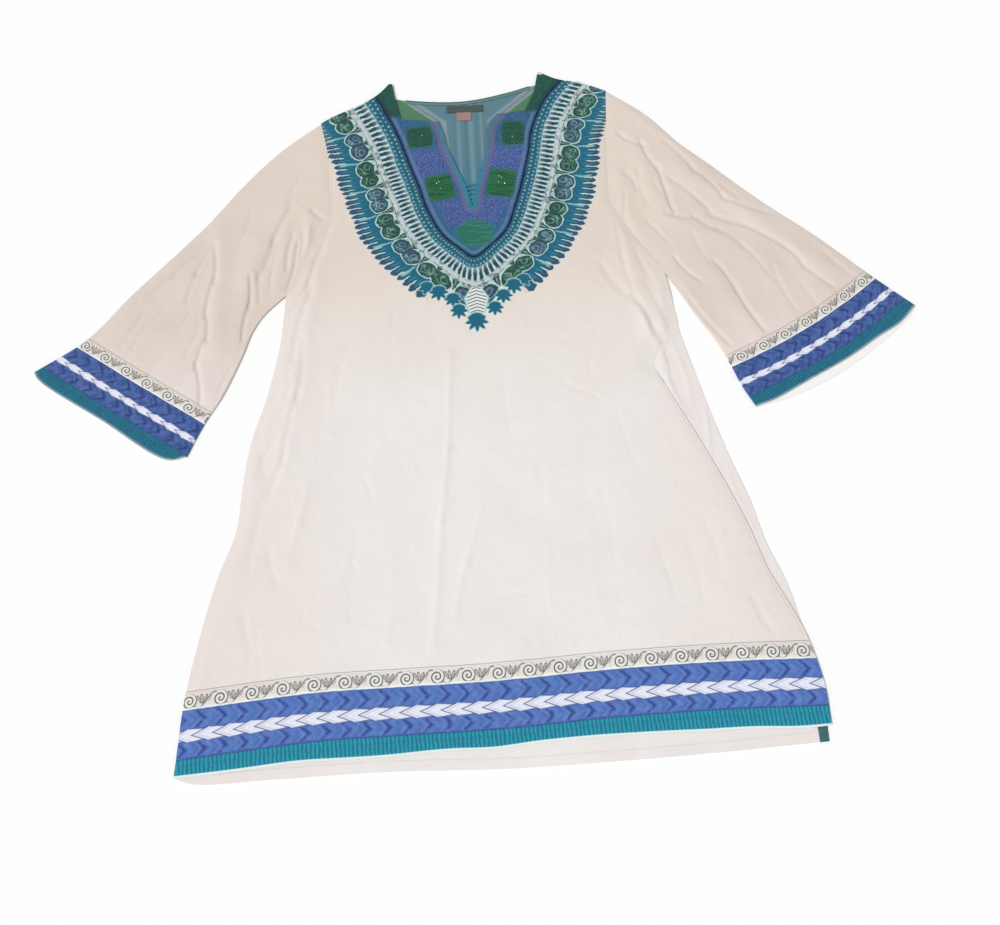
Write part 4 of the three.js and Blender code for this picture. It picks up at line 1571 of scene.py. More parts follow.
# ---- what repeats ----
class Growth:
    """Trees of geometry nodes that turn a path or points into stitches, curls and sequins."""

    def __init__(self) -> None:
        """Build each tree once."""
        self.running = self._stitch_tree()
        self.spirals = self._curl_tree()
        self.discs = self._sequin_tree()

    @staticmethod
    def _new_tree(name: str, sizes: Sequence[str]) -> tuple[NodeTree, Node]:
        """Start a tree with a path, named sizes and a material as its inputs.

        Args:
            name: Name of the tree.
            sizes: Names of its sizes.

        Returns:
            The tree, and the node that holds its inputs.
        """
        tree = bpy.data.node_groups.new(name, "GeometryNodeTree")
        tree.interface.new_socket("Path", in_out="INPUT", socket_type="NodeSocketGeometry")
        for size in sizes:
            tree.interface.new_socket(size, in_out="INPUT", socket_type="NodeSocketFloat")
        tree.interface.new_socket("Finish", in_out="INPUT", socket_type="NodeSocketMaterial")
        tree.interface.new_socket("Geometry", in_out="OUTPUT", socket_type="NodeSocketGeometry")
        return tree, add_node(tree, "NodeGroupInput")

    @staticmethod
    def _end(
        tree: NodeTree, start: Node, points: Node, shape: Node,
        turned: NodeSocket, scale: NodeSocket | tuple[float, ...] = (1.0, 1.0, 1.0),
    ) -> NodeTree:
        """End a tree: put the shape on points, realize it and set its material.

        Args:
            tree: The tree.
            start: The node that holds its inputs.
            points: Where the shapes go.
            shape: What repeats.
            turned: How each one is turned.
            scale: How each one is stretched.

        Returns:
            The same tree.
        """
        placed = add_node(
            tree, "GeometryNodeInstanceOnPoints", None,
            {"Points": points.outputs[0], "Instance": shape.outputs[0], "Rotation": turned, "Scale": scale},
        )
        real = add_node(tree, "GeometryNodeRealizeInstances", None, {"Geometry": placed.outputs[0]})
        dressed = add_node(
            tree, "GeometryNodeSetMaterial", None,
            {"Geometry": real.outputs[0], "Material": start.outputs["Finish"]},
        )
        add_node(tree, "NodeGroupOutput", None, {0: dressed.outputs[0]})
        return tree

    def _stitch_tree(self) -> NodeTree:
        """Make stitches that lie along a path, one for each pitch.

        Returns:
            The tree.
        """
        tree, start = self._new_tree("running stitches", ("Pitch", "Length", "Thickness"))
        curve = add_node(tree, "GeometryNodeMeshToCurve", None, {"Mesh": start.outputs["Path"]})
        spaced = add_node(
            tree, "GeometryNodeResampleCurve", {"mode": "LENGTH"},
            {"Curve": curve.outputs[0], "Length": start.outputs["Pitch"]},
        )
        tangent = add_node(tree, "GeometryNodeInputTangent").outputs[0]
        turned = add_node(tree, "FunctionNodeAlignRotationToVector", {"axis": "X"}, {"Vector": tangent})
        bead = add_node(tree, "GeometryNodeMeshUVSphere", None, {"Segments": 6, "Rings": 4, "Radius": 0.5})
        length, thick = start.outputs["Length"], start.outputs["Thickness"]
        size = add_node(tree, "ShaderNodeCombineXYZ", None, {0: length, 1: thick, 2: thick})
        return self._end(tree, start, spaced, bead, turned.outputs[0], size.outputs[0])

    def _curl_tree(self) -> NodeTree:
        """Make flat spirals of cord on points, each turned its own way.

        Returns:
            The tree.
        """
        tree, start = self._new_tree("curled cords", ("Radius", "Thickness"))
        spiral = add_node(
            tree, "GeometryNodeCurveSpiral", None,
            {"Resolution": 14, "Rotations": 1.6, "Start Radius": 0.6 * MM,
             "End Radius": start.outputs["Radius"], "Height": 0.0},
        )
        section = add_node(
            tree, "GeometryNodeCurvePrimitiveCircle", None,
            {"Resolution": 5, "Radius": start.outputs["Thickness"]},
        )
        cord = add_node(
            tree, "GeometryNodeCurveToMesh", None,
            {"Curve": spiral.outputs[0], "Profile Curve": section.outputs[0], "Fill Caps": True},
        )
        turn = add_node(
            tree, "FunctionNodeRandomValue", {"data_type": "FLOAT"}, {2: 0.0, 3: 2 * math.pi, "Seed": 7}
        )
        angle = add_node(tree, "ShaderNodeCombineXYZ", None, {2: turn.outputs[1]})
        points = add_node(tree, "GeometryNodeMeshToPoints", None, {"Mesh": start.outputs["Path"]})
        return self._end(tree, start, points, cord, angle.outputs[0])

    def _sequin_tree(self) -> NodeTree:
        """Make small cupped discs on points, each tipped a little.

        Returns:
            The tree.
        """
        tree, start = self._new_tree("sequins", ("Radius",))
        disc = add_node(
            tree, "GeometryNodeMeshUVSphere", None,
            {"Segments": 8, "Rings": 4, "Radius": start.outputs["Radius"]},
        )
        flat = add_node(
            tree, "GeometryNodeTransform", None, {"Geometry": disc.outputs[0], "Scale": (1.0, 1.0, 0.28)}
        )
        tip = add_node(
            tree, "FunctionNodeRandomValue", {"data_type": "FLOAT_VECTOR"},
            {0: (-0.35, -0.35, 0.0), 1: (0.35, 0.35, 3.0), "Seed": 11},
        )
        points = add_node(tree, "GeometryNodeMeshToPoints", None, {"Mesh": start.outputs["Path"]})
        return self._end(tree, start, points, flat, tip.outputs[0])

    def grow(
        self,
        name: str,
        tree: NodeTree,
        paths: Sequence[Points],
        sizes: dict[str, float],
        finish: Material,
        frame: Frame,
    ) -> Object:
        """Run a tree over paths and keep the result as a plain mesh.

        Args:
            name: Name of the piece.
            tree: One of this class's trees.
            paths: Lines of (x, y, z) millimetres; a line of one point is a place.
            sizes: The tree's inputs, in millimetres.
            finish: Material of the result.
            frame: Where the maker's frame lies.

        Returns:
            The piece.
        """
        edges, count = [], 0
        for path in paths:
            edges += [(count + k, count + k + 1) for k in range(len(path) - 1)]
            count += len(path)
        seed = bpy.data.meshes.new(name)
        seed.from_pydata(frame.metres(np.vstack(paths)).tolist(), edges, [])
        piece = bpy.data.objects.new(name, seed)
        bpy.context.collection.objects.link(piece)
        modifier = piece.modifiers.new("grow", "NODES")
        modifier.node_group = tree
        sockets = {item.name: item.identifier for item in tree.interface.items_tree if item.in_out == "INPUT"}
        for label, value in sizes.items():
            modifier[sockets[label]] = value * MM
        modifier[sockets["Finish"]] = finish
        grown = piece.evaluated_get(bpy.context.evaluated_depsgraph_get())
        mesh = bpy.data.meshes.new_from_object(grown)
        piece.modifiers.remove(modifier)
        piece.data = mesh
        mesh.shade_smooth()
        return piece


# ---- the dress ----
@dataclass
class Garment:
    """What the sub-assemblies share: the frame and the trees for what repeats."""

    frame: Frame
    growth: Growth = field(default_factory=Growth)

    def keep(self, piece: Object, slot: str, *replaced: str) -> Object:
        """Carry a piece on the dress.

        Args:
            piece: The piece.
            slot: Not used.
            replaced: Solids that it stands for.

        Returns:
            The same piece.
        """
        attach(piece, "root")
        if replaced:
            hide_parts(*replaced)
        log.info("%s: %d faces", piece.name, len(piece.data.polygons))
        return piece

    def dye(self, piece: Object, most: PrintedCotton, others: PrintedCotton, first: int,
            last: int) -> None:
        """Give a cloth its two sides.

        Args:
            piece: The cloth.
            most: Finish of most faces.
            others: Finish of the faces from first up to last.
            first: The first of those faces.
            last: The face after the last of them.
        """
        for finish in (most, others):
            piece.data.materials.append(finish.make(self.frame))
        slots = np.zeros(len(piece.data.polygons), np.int32)
        slots[first:last] = 1
        piece.data.polygons.foreach_set("material_index", slots)

    def sew(self, name: str, paths: Sequence[Points], thread: Material,
            stitch: tuple[float, float, float]) -> None:
        """Run stitches along paths.

        Args:
            name: Name of the piece.
            paths: Lines of (x, y, z).
            thread: Material of the thread.
            stitch: Distance from one stitch to the next, length of a stitch and thickness of the thread.
        """
        sizes = dict(zip(("Pitch", "Length", "Thickness"), stitch, strict=True))
        self.keep(self.growth.grow(name, self.growth.running, paths, sizes, thread, self.frame), "cloth")


def hem_dip(x: Points) -> Points:
    """How far the front's cut edge dips below the line of its print, by place along the hem."""
    return np.interp(x, *smooth(HEM_DIPS, 80).T)


def hem_rise(edge: Points) -> Points:
    """Extra height of a turned hem, by millimetres from the edge."""
    return HEM_RISE * np.clip((HEM_TURN + 0.8 - edge) / 1.6, 0, 1)


def side_room(p: Points) -> Points:
    """How far places lie to the right of the front's right edge, or 0 where the front covers them."""
    edge = smooth(FRONT_RIGHT_SIDE, 200)
    return np.where(p[:, 1] < COVERED_ABOVE, p[:, 0] - np.interp(p[:, 1], edge[:, 1], edge[:, 0]), 0)


def run_from_first_row(grid: Points) -> Points:
    """Distance of each grid point from its column's first point, along the column."""
    steps = np.hypot(*np.moveaxis(np.diff(grid, axis=0), -1, 0))
    return np.vstack([np.zeros((1, grid.shape[1])), np.cumsum(steps, axis=0)])


@dataclass
class FrontPanel:
    """The front: hem to underarm in one grid, then two grids each side of the neck slit."""

    garment: Garment
    half_columns: int = 88  # from a side to the middle
    skirt_rows: int = 164
    arm_rows: int = 84
    slit_row: int = 35  # row above the underarm at which the slit starts
    shoulder_rows: int = 22  # beside the neck
    strip_columns: int = 60  # between the armhole and the neck
    cut: tuple[float, float] = (0.722, 0.925)
    cut_area: float = 0.445
    # distances over which the cloth settles, and the least share of its folds that is left there
    edge_fall: float = 14.0
    hem_fall: tuple[float, float] = (60.0, 0.25)
    neck_fall: tuple[float, float] = (60.0, 0.15)
    neck_turn: float = 5.0  # depth of the turned neck edge
    pressed_fall: float = 26.0  # distance over which it sinks to where it is pressed onto the back
    surface: BVHTree | None = None

    def grids(self) -> list[Points]:
        """Lay out the panel's grids.

        Returns:
            The skirt, then the chest and the shoulder of each side.
        """
        hem = smooth(FRONT_HEM, 2 * self.half_columns)
        hem[:, 1] -= hem_dip(hem[:, 0])
        underarm = joined(
            along((LEFT_SIDE[-1], PIT_CENTRE), self.half_columns),
            along((PIT_CENTRE, RIGHT_SIDE[-1]), self.half_columns),
        )
        skirt = patch(
            smooth(LEFT_SIDE, self.skirt_rows), smooth(FRONT_RIGHT_SIDE, self.skirt_rows), hem, underarm
        )
        centre = along((PIT_CENTRE, SLIT_FOOT), self.slit_row)
        grids = [skirt]
        for slit, neck, armhole, shoulder, peak in (
            (LEFT_SLIT, LEFT_NECK, LEFT_ARMHOLE, LEFT_SHOULDER, LEFT_PEAK),
            (RIGHT_SLIT, RIGHT_NECK, RIGHT_ARMHOLE, RIGHT_SHOULDER, RIGHT_PEAK),
        ):
            inner = joined(centre, smooth(slit, self.arm_rows - self.slit_row))
            outer = smooth(armhole, self.arm_rows)
            strip = along((armhole[-1], neck[1]), self.strip_columns)
            top = joined(strip, along((neck[1], neck[0]), self.half_columns - self.strip_columns))
            edges = [along(shoulder, self.shoulder_rows), along(neck[1:], self.shoulder_rows)]
            end = along(peak, self.strip_columns)
            if slit is LEFT_SLIT:
                grids.append(patch(outer, inner, underarm[: self.half_columns + 1], top))
                grids.append(patch(*edges, strip, end))
            else:
                grids.append(patch(inner, outer, underarm[self.half_columns :], top[::-1]))
                grids.append(patch(*edges[::-1], strip[::-1], end))
        return grids

    def build(self) -> Object:
        """Build the panel and its print.

        Returns:
            The front's cloth.
        """
        sheet = Sheet.from_grids(self.grids())
        places = sheet.places
        side = np.minimum(
            distance_to(np.vstack([LEFT_SIDE, LEFT_ARMHOLE, LEFT_SHOULDER]), places),
            distance_to(np.vstack([FRONT_RIGHT_SIDE, RIGHT_ARMHOLE, RIGHT_SHOULDER]), places),
        )
        hem_line = smooth(FRONT_HEM, 120)
        hem_line[:, 1] -= hem_dip(hem_line[:, 0])
        hem = distance_to(hem_line, places)
        slit = smooth(LEFT_SLIT[::-1], 60), smooth(RIGHT_SLIT, 60)
        neck = distance_to(joined(along(LEFT_NECK[::-1], 40), *slit, along(RIGHT_NECK, 40)), places)
        top = self._height(places, side, hem, neck)
        vertices, faces = sheet.shell(top, np.maximum(top - CLOTH, WALL - 0.3))
        piece = make_piece("front_cloth", vertices, faces, self.garment.frame)
        self.surface = BVHTree.FromPolygons(vertices.tolist(), sheet.faces.tolist())
        run = places[:, 0]
        border = np.column_stack([run, np.where(places[:, 1] < BORDER_REACH, hem - hem_dip(run), FAR), hem])
        give_numbers(piece, "border", np.vstack([border, border]))
        slit_line = joined(
            np.array([(-46.0, 862.0), (-46.0, 837.0)]), *slit, np.array([(36.0, 845.0), (36.0, 862.0)])
        )
        numbers = np.column_stack([neck_place(places), distance_to(slit_line, places)])
        give_numbers(piece, "neck", np.vstack([numbers, numbers]))
        finish = PrintedCotton("printed_cotton_front", border=BorderPrint(), neck=True)
        piece.data.materials.append(finish.make(self.garment.frame))
        return self.garment.keep(piece, "cloth", "front_panel")

    def _height(self, places: Points, side: Points, hem: Points, neck: Points) -> Points:
        """Work out how high the cloth lies.

        Args:
            places: (x, y) of each vertex.
            side: Distance from the sides.
            hem: Distance from the hem.
            neck: Distance from the neck and the slit.

        Returns:
            Height of the upper face at each vertex.
        """
        held = np.clip(side / self.edge_fall, 0, 1) ** ROUNDNESS
        lift = PUFF + lift_of(FRONT_FOLDS, places) + lift_of(FRONT_CREASES, places)
        for distance, (fall, least) in ((hem, self.hem_fall), (neck, self.neck_fall)):
            held *= np.clip(distance / fall, least, 1)
        lift = np.clip(lift * held, DEEPEST, MOST_LIFT)
        lift += hem_rise(hem) + hem_rise(neck + HEM_TURN - self.neck_turn)
        raised = np.clip(distance_to(smooth(LAID_DOWN, 40), places) / self.pressed_fall, 0, 1)
        raised = raised**2 * (3 - 2 * raised)
        top = (PILE + lift) * raised + (WALL - 0.15) * (1 - raised)
        return top + np.clip(lift_of(FLANK_RIDGES, places), 0, TALLEST_FLANK) * np.clip(side / 3, 0, 1)


@dataclass
class BackPanel:
    """The back: flat, longer at the hem, seen inside the neck, at the right and below the front."""

    garment: Garment
    columns: int = 140
    side_rows: int = 150
    crowding: float = 1.6  # how much closer the columns stand on the right, where the back shows
    arm_rows: int = 50
    shoulder_rows: int = 12
    cut: tuple[float, float] = (0.722, 0.92)
    cut_area: float = 0.482
    most_crease: float = 1.6  # highest that a crease may stand

    def build(self) -> Object:
        """Build the panel, printed outside and with the print seen through inside.

        Returns:
            The back's cloth.
        """
        edges = [
            joined(
                smooth(side, self.side_rows), smooth(armhole, self.arm_rows),
                along(shoulder, self.shoulder_rows),
            )
            for side, armhole, shoulder in (
                (LEFT_SIDE, LEFT_ARMHOLE, LEFT_SHOULDER), (RIGHT_SIDE, RIGHT_ARMHOLE, RIGHT_SHOULDER),
            )
        ]
        shares = 1 - (1 - np.linspace(0, 1, self.columns + 1)) ** self.crowding
        sheet = Sheet.from_grids([patch(*edges, smooth(BACK_HEM, shares), smooth(BACK_NECK, shares))])
        places = sheet.places
        hem = distance_to(smooth(BACK_HEM, 60), places)
        shown = np.clip((side_room(places) - 1) / 3, 0, 1)
        creases = np.clip(lift_of(BACK_CREASES, places), 0, self.most_crease) * shown
        top = WALL - 0.35 + hem_rise(hem) + creases
        vertices, faces = sheet.shell(top, np.zeros(len(top)))
        piece = make_piece("back_cloth", vertices, faces, self.garment.frame)
        border = np.column_stack([-places[:, 0], np.where(places[:, 1] < BORDER_REACH, hem, FAR), hem])
        give_numbers(piece, "border", np.vstack([border, border]))
        inside_out = PrintedCotton("cotton_back_inside", INKS.cloth_inside, seen_through=True)
        printed = PrintedCotton("printed_cotton_back", border=BorderPrint())
        count = len(sheet.faces)
        self.garment.dye(piece, inside_out, printed, count, 2 * count)
        return self.garment.keep(piece, "cloth", "back_panel")


@dataclass
class Sleeve:
    """A bell sleeve: one flattened tube, open at the armhole and at the cuff."""

    garment: Garment
    side: Side
    rows: int = 186
    columns: int = 94
    # its third number lays painted shade over the cuff's inks
    cuff_print: BorderPrint = BorderPrint(0.86, 0.95, 0.38, lower_blue=38.0, feathers=46.2)
    edge_fall: float = 11.0  # distance from the folds over which the cloth settles
    cuff_fall: float = 70.0  # distance from the cuff over which it settles
    surface: BVHTree | None = None

    def layers(self) -> tuple[Points, Points]:
        """Lay out the upper and the lower layer, armhole to cuff by top fold to underarm.

        Returns:
            Grid of each layer.
        """
        cut = SLEEVE_CUTS[self.side]
        move = np.array([cut.shift, 0.0])
        head = smooth(cut.armhole, self.columns)[::-1] + move
        top, seam = smooth(cut.fold, self.rows) + move, smooth(cut.underarm, self.rows) + move
        cuffs = (smooth(cuff, self.columns) + move for cuff in (cut.upper_cuff, cut.lower_cuff))
        return tuple(patch(top, seam, head, cuff) for cuff in cuffs)

    def build(self) -> Object:
        """Build the sleeve and its cuff print.

        Returns:
            The sleeve's cloth.
        """
        upper, lower = self.layers()
        height = self._height(upper)
        outer, inner = (self._rounds(upper, lower, height, inset) for inset in (0.0, CLOTH))
        rows, ring = outer.shape[:2]
        out = np.arange(rows * ring).reshape(rows, ring)
        faces = self._wall(out) + [f[::-1] for f in self._wall(out + rows * ring)]
        for row, turn in ((0, 1), (rows - 1, -1)):
            a = out[row]
            rim = np.stack([np.roll(a, -1), a, a + rows * ring, np.roll(a, -1) + rows * ring], axis=1)
            faces += rim[:, ::turn].tolist()
        vertices = np.vstack([outer.reshape(-1, 3), inner.reshape(-1, 3)])
        if self.side is Side.LEFT:
            faces = [f[::-1] for f in faces]
        name = f"sleeve_{self.side.value}"
        piece = make_piece(f"{name}_cloth", vertices, faces, self.garment.frame)
        over = out[:, 1 : self.columns + 2]
        corners = [over[:-1, :-1], over[:-1, 1:], over[1:, 1:], over[1:, :-1]]
        top_faces = np.stack(corners, axis=-1).reshape(-1, 4)
        self.surface = BVHTree.FromPolygons(vertices.tolist(), top_faces.tolist())
        numbers = self._border_numbers(upper, lower)
        give_numbers(piece, "border", np.vstack([numbers, np.full_like(numbers, FAR)]))
        words = f"{self.side.value}_sleeve"
        # The sleeve's darker ground is painted shade.
        printed = PrintedCotton(f"printed_cotton_{words}", INKS.sleeve, INKS.sleeve_shade, self.cuff_print)
        # the inside takes no painted shade
        inside_out = PrintedCotton(f"cotton_{words}_inside", INKS.lining, INKS.lining, painted_shade=False)
        walls = (rows - 1) * ring
        self.garment.dye(piece, printed, inside_out, walls, 2 * walls)
        return self.garment.keep(piece, "cloth", name)

    def cuff_line(self) -> Points:
        """Find where the turned cuff is sewn down.

        Returns:
            Points as (x, y), from the top fold to the underarm.
        """
        upper, _ = self.layers()
        edge = run_from_first_row(upper[::-1])[::-1]
        cuff = []
        for column in range(2, upper.shape[1] - 2):
            run, line = edge[:, column][::-1], upper[:, column][::-1]
            cuff.append([np.interp(HEM_TURN, run, line[:, axis]) for axis in (0, 1)])
        return np.array(cuff)

    def _height(self, upper: Points) -> Points:
        """Work out how high the upper layer lies.

        Args:
            upper: Grid of the upper layer.

        Returns:
            Height at each of its points.
        """
        cut = SLEEVE_CUTS[self.side]
        edge = run_from_first_row(upper[::-1])[::-1]
        flat = upper.reshape(-1, 2)
        lines = smooth(cut.fold, 80), smooth(cut.underarm, 80), smooth(cut.armhole, 60)
        near = np.min([distance_to(line, flat) for line in lines], axis=0).reshape(edge.shape)
        held = np.clip(near / self.edge_fall, 0, 1) ** ROUNDNESS * np.clip(edge / self.cuff_fall, 0.3, 1)
        lift = PUFF + lift_of(SLEEVE_FOLDS[self.side], upper) + lift_of(SLEEVE_CREASES[self.side], upper)
        return PILE + np.clip(lift * held, DEEPEST, MOST_LIFT) + hem_rise(edge)

    def _border_numbers(self, upper: Points, lower: Points) -> Points:
        """Measure the border's coordinates round the outer wall.

        Args:
            upper: Grid of the upper layer.
            lower: Grid of the lower layer.

        Returns:
            Run along the print's line, distance from it and distance from the cut edge, for each vertex.
        """
        cut = SLEEVE_CUTS[self.side]
        start, end = np.array(cut.print_line, dtype=float)
        length = np.linalg.norm(end - start)
        way = (end - start) / length
        inward = np.array([-way[1], way[0]]) if self.side is Side.LEFT else np.array([way[1], -way[0]])
        measured = []
        for grid in (upper, lower):
            run = (grid - start) @ way
            share = np.clip(run / length, 0, 1)
            measured.append((run, (grid - start) @ inward - 4 * cut.print_bow * share * (1 - share)))
        (over, above), (under, below) = measured
        near, far = (run_from_first_row(grid[::-1])[::-1] for grid in (upper, lower))
        back = 2 * under[:, :1] - under
        if self.side is Side.RIGHT:
            over, back = -over, -back
        u = np.hstack([over[:, :1], over, over[:, -1:], back[:, ::-1]])
        v = np.hstack([above[:, :1], above, above[:, -1:], below[:, ::-1]])
        edge = np.hstack([near[:, :1], near, near[:, -1:], far[:, ::-1]])
        return np.column_stack([u.ravel(), v.ravel(), edge.ravel()])

    @staticmethod
    def _wall(at: Points) -> list[list[int]]:
        """Faces of a tube's wall from its rings of vertex numbers."""
        after = np.roll(at, -1, axis=1)
        return np.stack([at[:-1], after[:-1], after[1:], at[1:]], axis=-1).reshape(-1, 4).tolist()

    @staticmethod
    def _rounds(upper: Points, lower: Points, height: Points, inset: float) -> Points:
        """Make the rings of the wall: over the upper layer, round the underarm and back below.

        Args:
            upper: Grid of the upper layer.
            lower: Grid of the lower layer.
            height: Height of the upper layer.
            inset: How far inside the outer face the ring lies.

        Returns:
            Rings of (x, y, z).
        """

        def drawn_in(grid: Points) -> Points:
            """Draw both edges of a layer in, so that the fold is round.

            Args:
                grid: The layer.

            Returns:
                The layer with its edges moved.
            """
            moved = grid.copy()
            for end, beside in ((0, 1), (-1, -2)):
                way = grid[:, beside] - grid[:, end]
                moved[:, end] += way / np.linalg.norm(way, axis=1)[:, None] * (EDGE_ROUND + inset)
            return moved

        def edge(end: int, beside: int) -> Points:
            """Find the outermost line of a fold, half way up.

            Args:
                end: Column of the fold.
                beside: Column next to it.

            Returns:
                One (x, y, z) for each row.
            """
            middle = (upper[:, end] + lower[:, end]) / 2
            way = upper[:, beside] - middle
            moved = middle + way / np.linalg.norm(way, axis=1)[:, None] * inset
            return np.column_stack([moved, np.full(len(moved), PILE / 2)])[:, None]

        over = np.dstack([drawn_in(upper), height - inset])
        back = np.dstack([drawn_in(lower), np.full(lower.shape[:2], inset)])[:, ::-1]
        return np.concatenate([edge(0, 1), over, edge(-1, -2), back], axis=1)


@dataclass
class NeckTrim:
    """Binding of the back neck, the blank label and the blank size tag."""

    garment: Garment
    depth: float = 5.0  # of the binding
    thickness: float = 1.0  # of the binding
    label: tuple[float, float, float, float] = (*LABEL_MIDDLE, 50, 11)  # middle, width and height
    tag: tuple[float, float, float, float] = (-10, 844.8, 20, 13.5)
    curl: float = 0.35  # how far a tape's ends stand up

    def build(self) -> None:
        """Build the three trims on the inside of the back."""
        self._binding()
        self._tape("label_tape", self.label, "#4B5552", "label", "neck_label")
        self._tape("tag_tape", self.tag, "#AB8680", "tag", "size_tag")

    def _binding(self) -> None:
        """Bind the back neck's edge."""
        line = smooth(BACK_NECK, np.linspace(0.14, 0.84, 71))
        across = np.linspace(0, 1, 6)
        shares = across[:, None, None]
        grid = (line - np.array([0, self.depth]))[None] * (1 - shares) + line[None] * shares
        sheet = Sheet.from_grids([grid])
        rows = zip(grid.reshape(-1, 2), np.repeat(across, len(line)), strict=True)
        order = {tuple(np.round(p, 3)): a for p, a in rows}
        share = np.array([order[tuple(np.round(p, 3))] for p in sheet.places])
        bottom = WALL + SEAM_GAP
        top = bottom + self.thickness * (0.55 + 0.45 * np.sin(np.pi * share))
        vertices, faces = sheet.shell(top, np.full(len(top), bottom))
        binding = make_piece("neck_binding", vertices, faces, self.garment.frame)
        give_numbers(binding, "band", np.tile(share, 2)[:, None])
        binding.data.materials.append(Thread("binding_cotton", "#67898A", 0.85, 0.15, "#2F5A4A").make())
        self.garment.keep(binding, "binding", "back_neck_band")

    def _tape(self, name: str, size: Sequence[float], colour: str, slot: str, node: str) -> None:
        """Lay a blank woven tape on the back, with its ends curled up a little.

        Args:
            name: Name of the piece.
            size: Its middle, width and height.
            colour: sRGB colour.
            slot: Material slot of the record.
            node: Solid that it stands for.
        """
        x, y, width, height = size
        left = np.array([(x - width / 2, y + height * (k / 6 - 0.5)) for k in range(7)])
        right = left + np.array([width, 0])
        bottom, upper = (along((left[k], right[k]), 16) for k in (0, -1))
        tape = Sheet.from_grids([patch(left, right, bottom, upper)])
        curl = self.curl * ((tape.places[:, 0] - x) / width * 2) ** 2
        base = WALL + SEAM_GAP
        vertices, faces = tape.shell(np.full(len(tape.places), base) + 0.5 + curl, base - 0.2 + curl)
        piece = make_piece(name, vertices, faces, self.garment.frame)
        piece.data.materials.append(Thread(f"woven_{name}", colour, 0.6).make())
        self.garment.keep(piece, slot, node)


@dataclass
class Sewing:
    """Stitches of the seams and hems."""

    garment: Garment
    front: FrontPanel
    sleeves: dict[Side, Sleeve]
    stitch: tuple[float, float, float] = (3.0, 2.2, 0.42)  # pitch, length, thickness
    above: float = 0.12  # how far the thread's middle lies above the cloth
    inset: tuple[float, float] = (4.0, 3.0)  # from the right side, from an armhole

    def build(self) -> None:
        """Sew the right side, the armholes, the front's hem, the cuffs and the back's hem."""
        white = Thread("sewing_thread", "#CDC6BF", 0.7).make()
        at_side, at_arm = (np.array([inset, 0]) for inset in self.inset)
        side = smooth(FRONT_RIGHT_SIDE, 200)
        side = side[(side[:, 1] > 104) & (side[:, 1] < 440)] - at_side
        arms = smooth(LEFT_ARMHOLE, 100)[4:-4] + at_arm, smooth(RIGHT_ARMHOLE, 100)[4:-4] - at_arm
        border = Thread("border_thread", "#147A8E").make()
        self._sew("front_stitches", (side, *arms), self.front.surface, white)
        self._sew("front_hem_stitches", [self._hem(FRONT_HEM, -352, 350)], self.front.surface, border)
        for side_name, sleeve in self.sleeves.items():
            self._sew(f"cuff_stitches_{side_name.value}", [sleeve.cuff_line()], sleeve.surface, border)
        hem = self._hem(BACK_HEM, -330, 345)
        pale = Thread("hem_thread", "#E6E1DD", 0.7).make()
        line = np.column_stack([hem, np.full(len(hem), WALL)])
        self.garment.sew("back_hem_stitches", [line], pale, self.stitch)

    @staticmethod
    def _hem(edge: Line, start: float, stop: float) -> Points:
        """Find where a turned hem is sewn down.

        Args:
            edge: The hem's cut line.
            start: Where across the stitches start.
            stop: Where they stop.

        Returns:
            Points as (x, y).
        """
        line = smooth(edge, 240) + np.array([0, HEM_TURN])
        return line[(line[:, 0] > start) & (line[:, 0] < stop)]

    def _sew(self, name: str, lines: Sequence[Points], cloth: BVHTree, thread: Material) -> None:
        """Run stitches along lines on a cloth.

        Args:
            name: Name of the piece.
            lines: Lines of (x, y).
            cloth: Upper face of the cloth.
            thread: Material of the thread.
        """
        paths = [dropped(line, cloth, self.above) for line in lines]
        self.garment.sew(name, paths, thread, self.stitch)


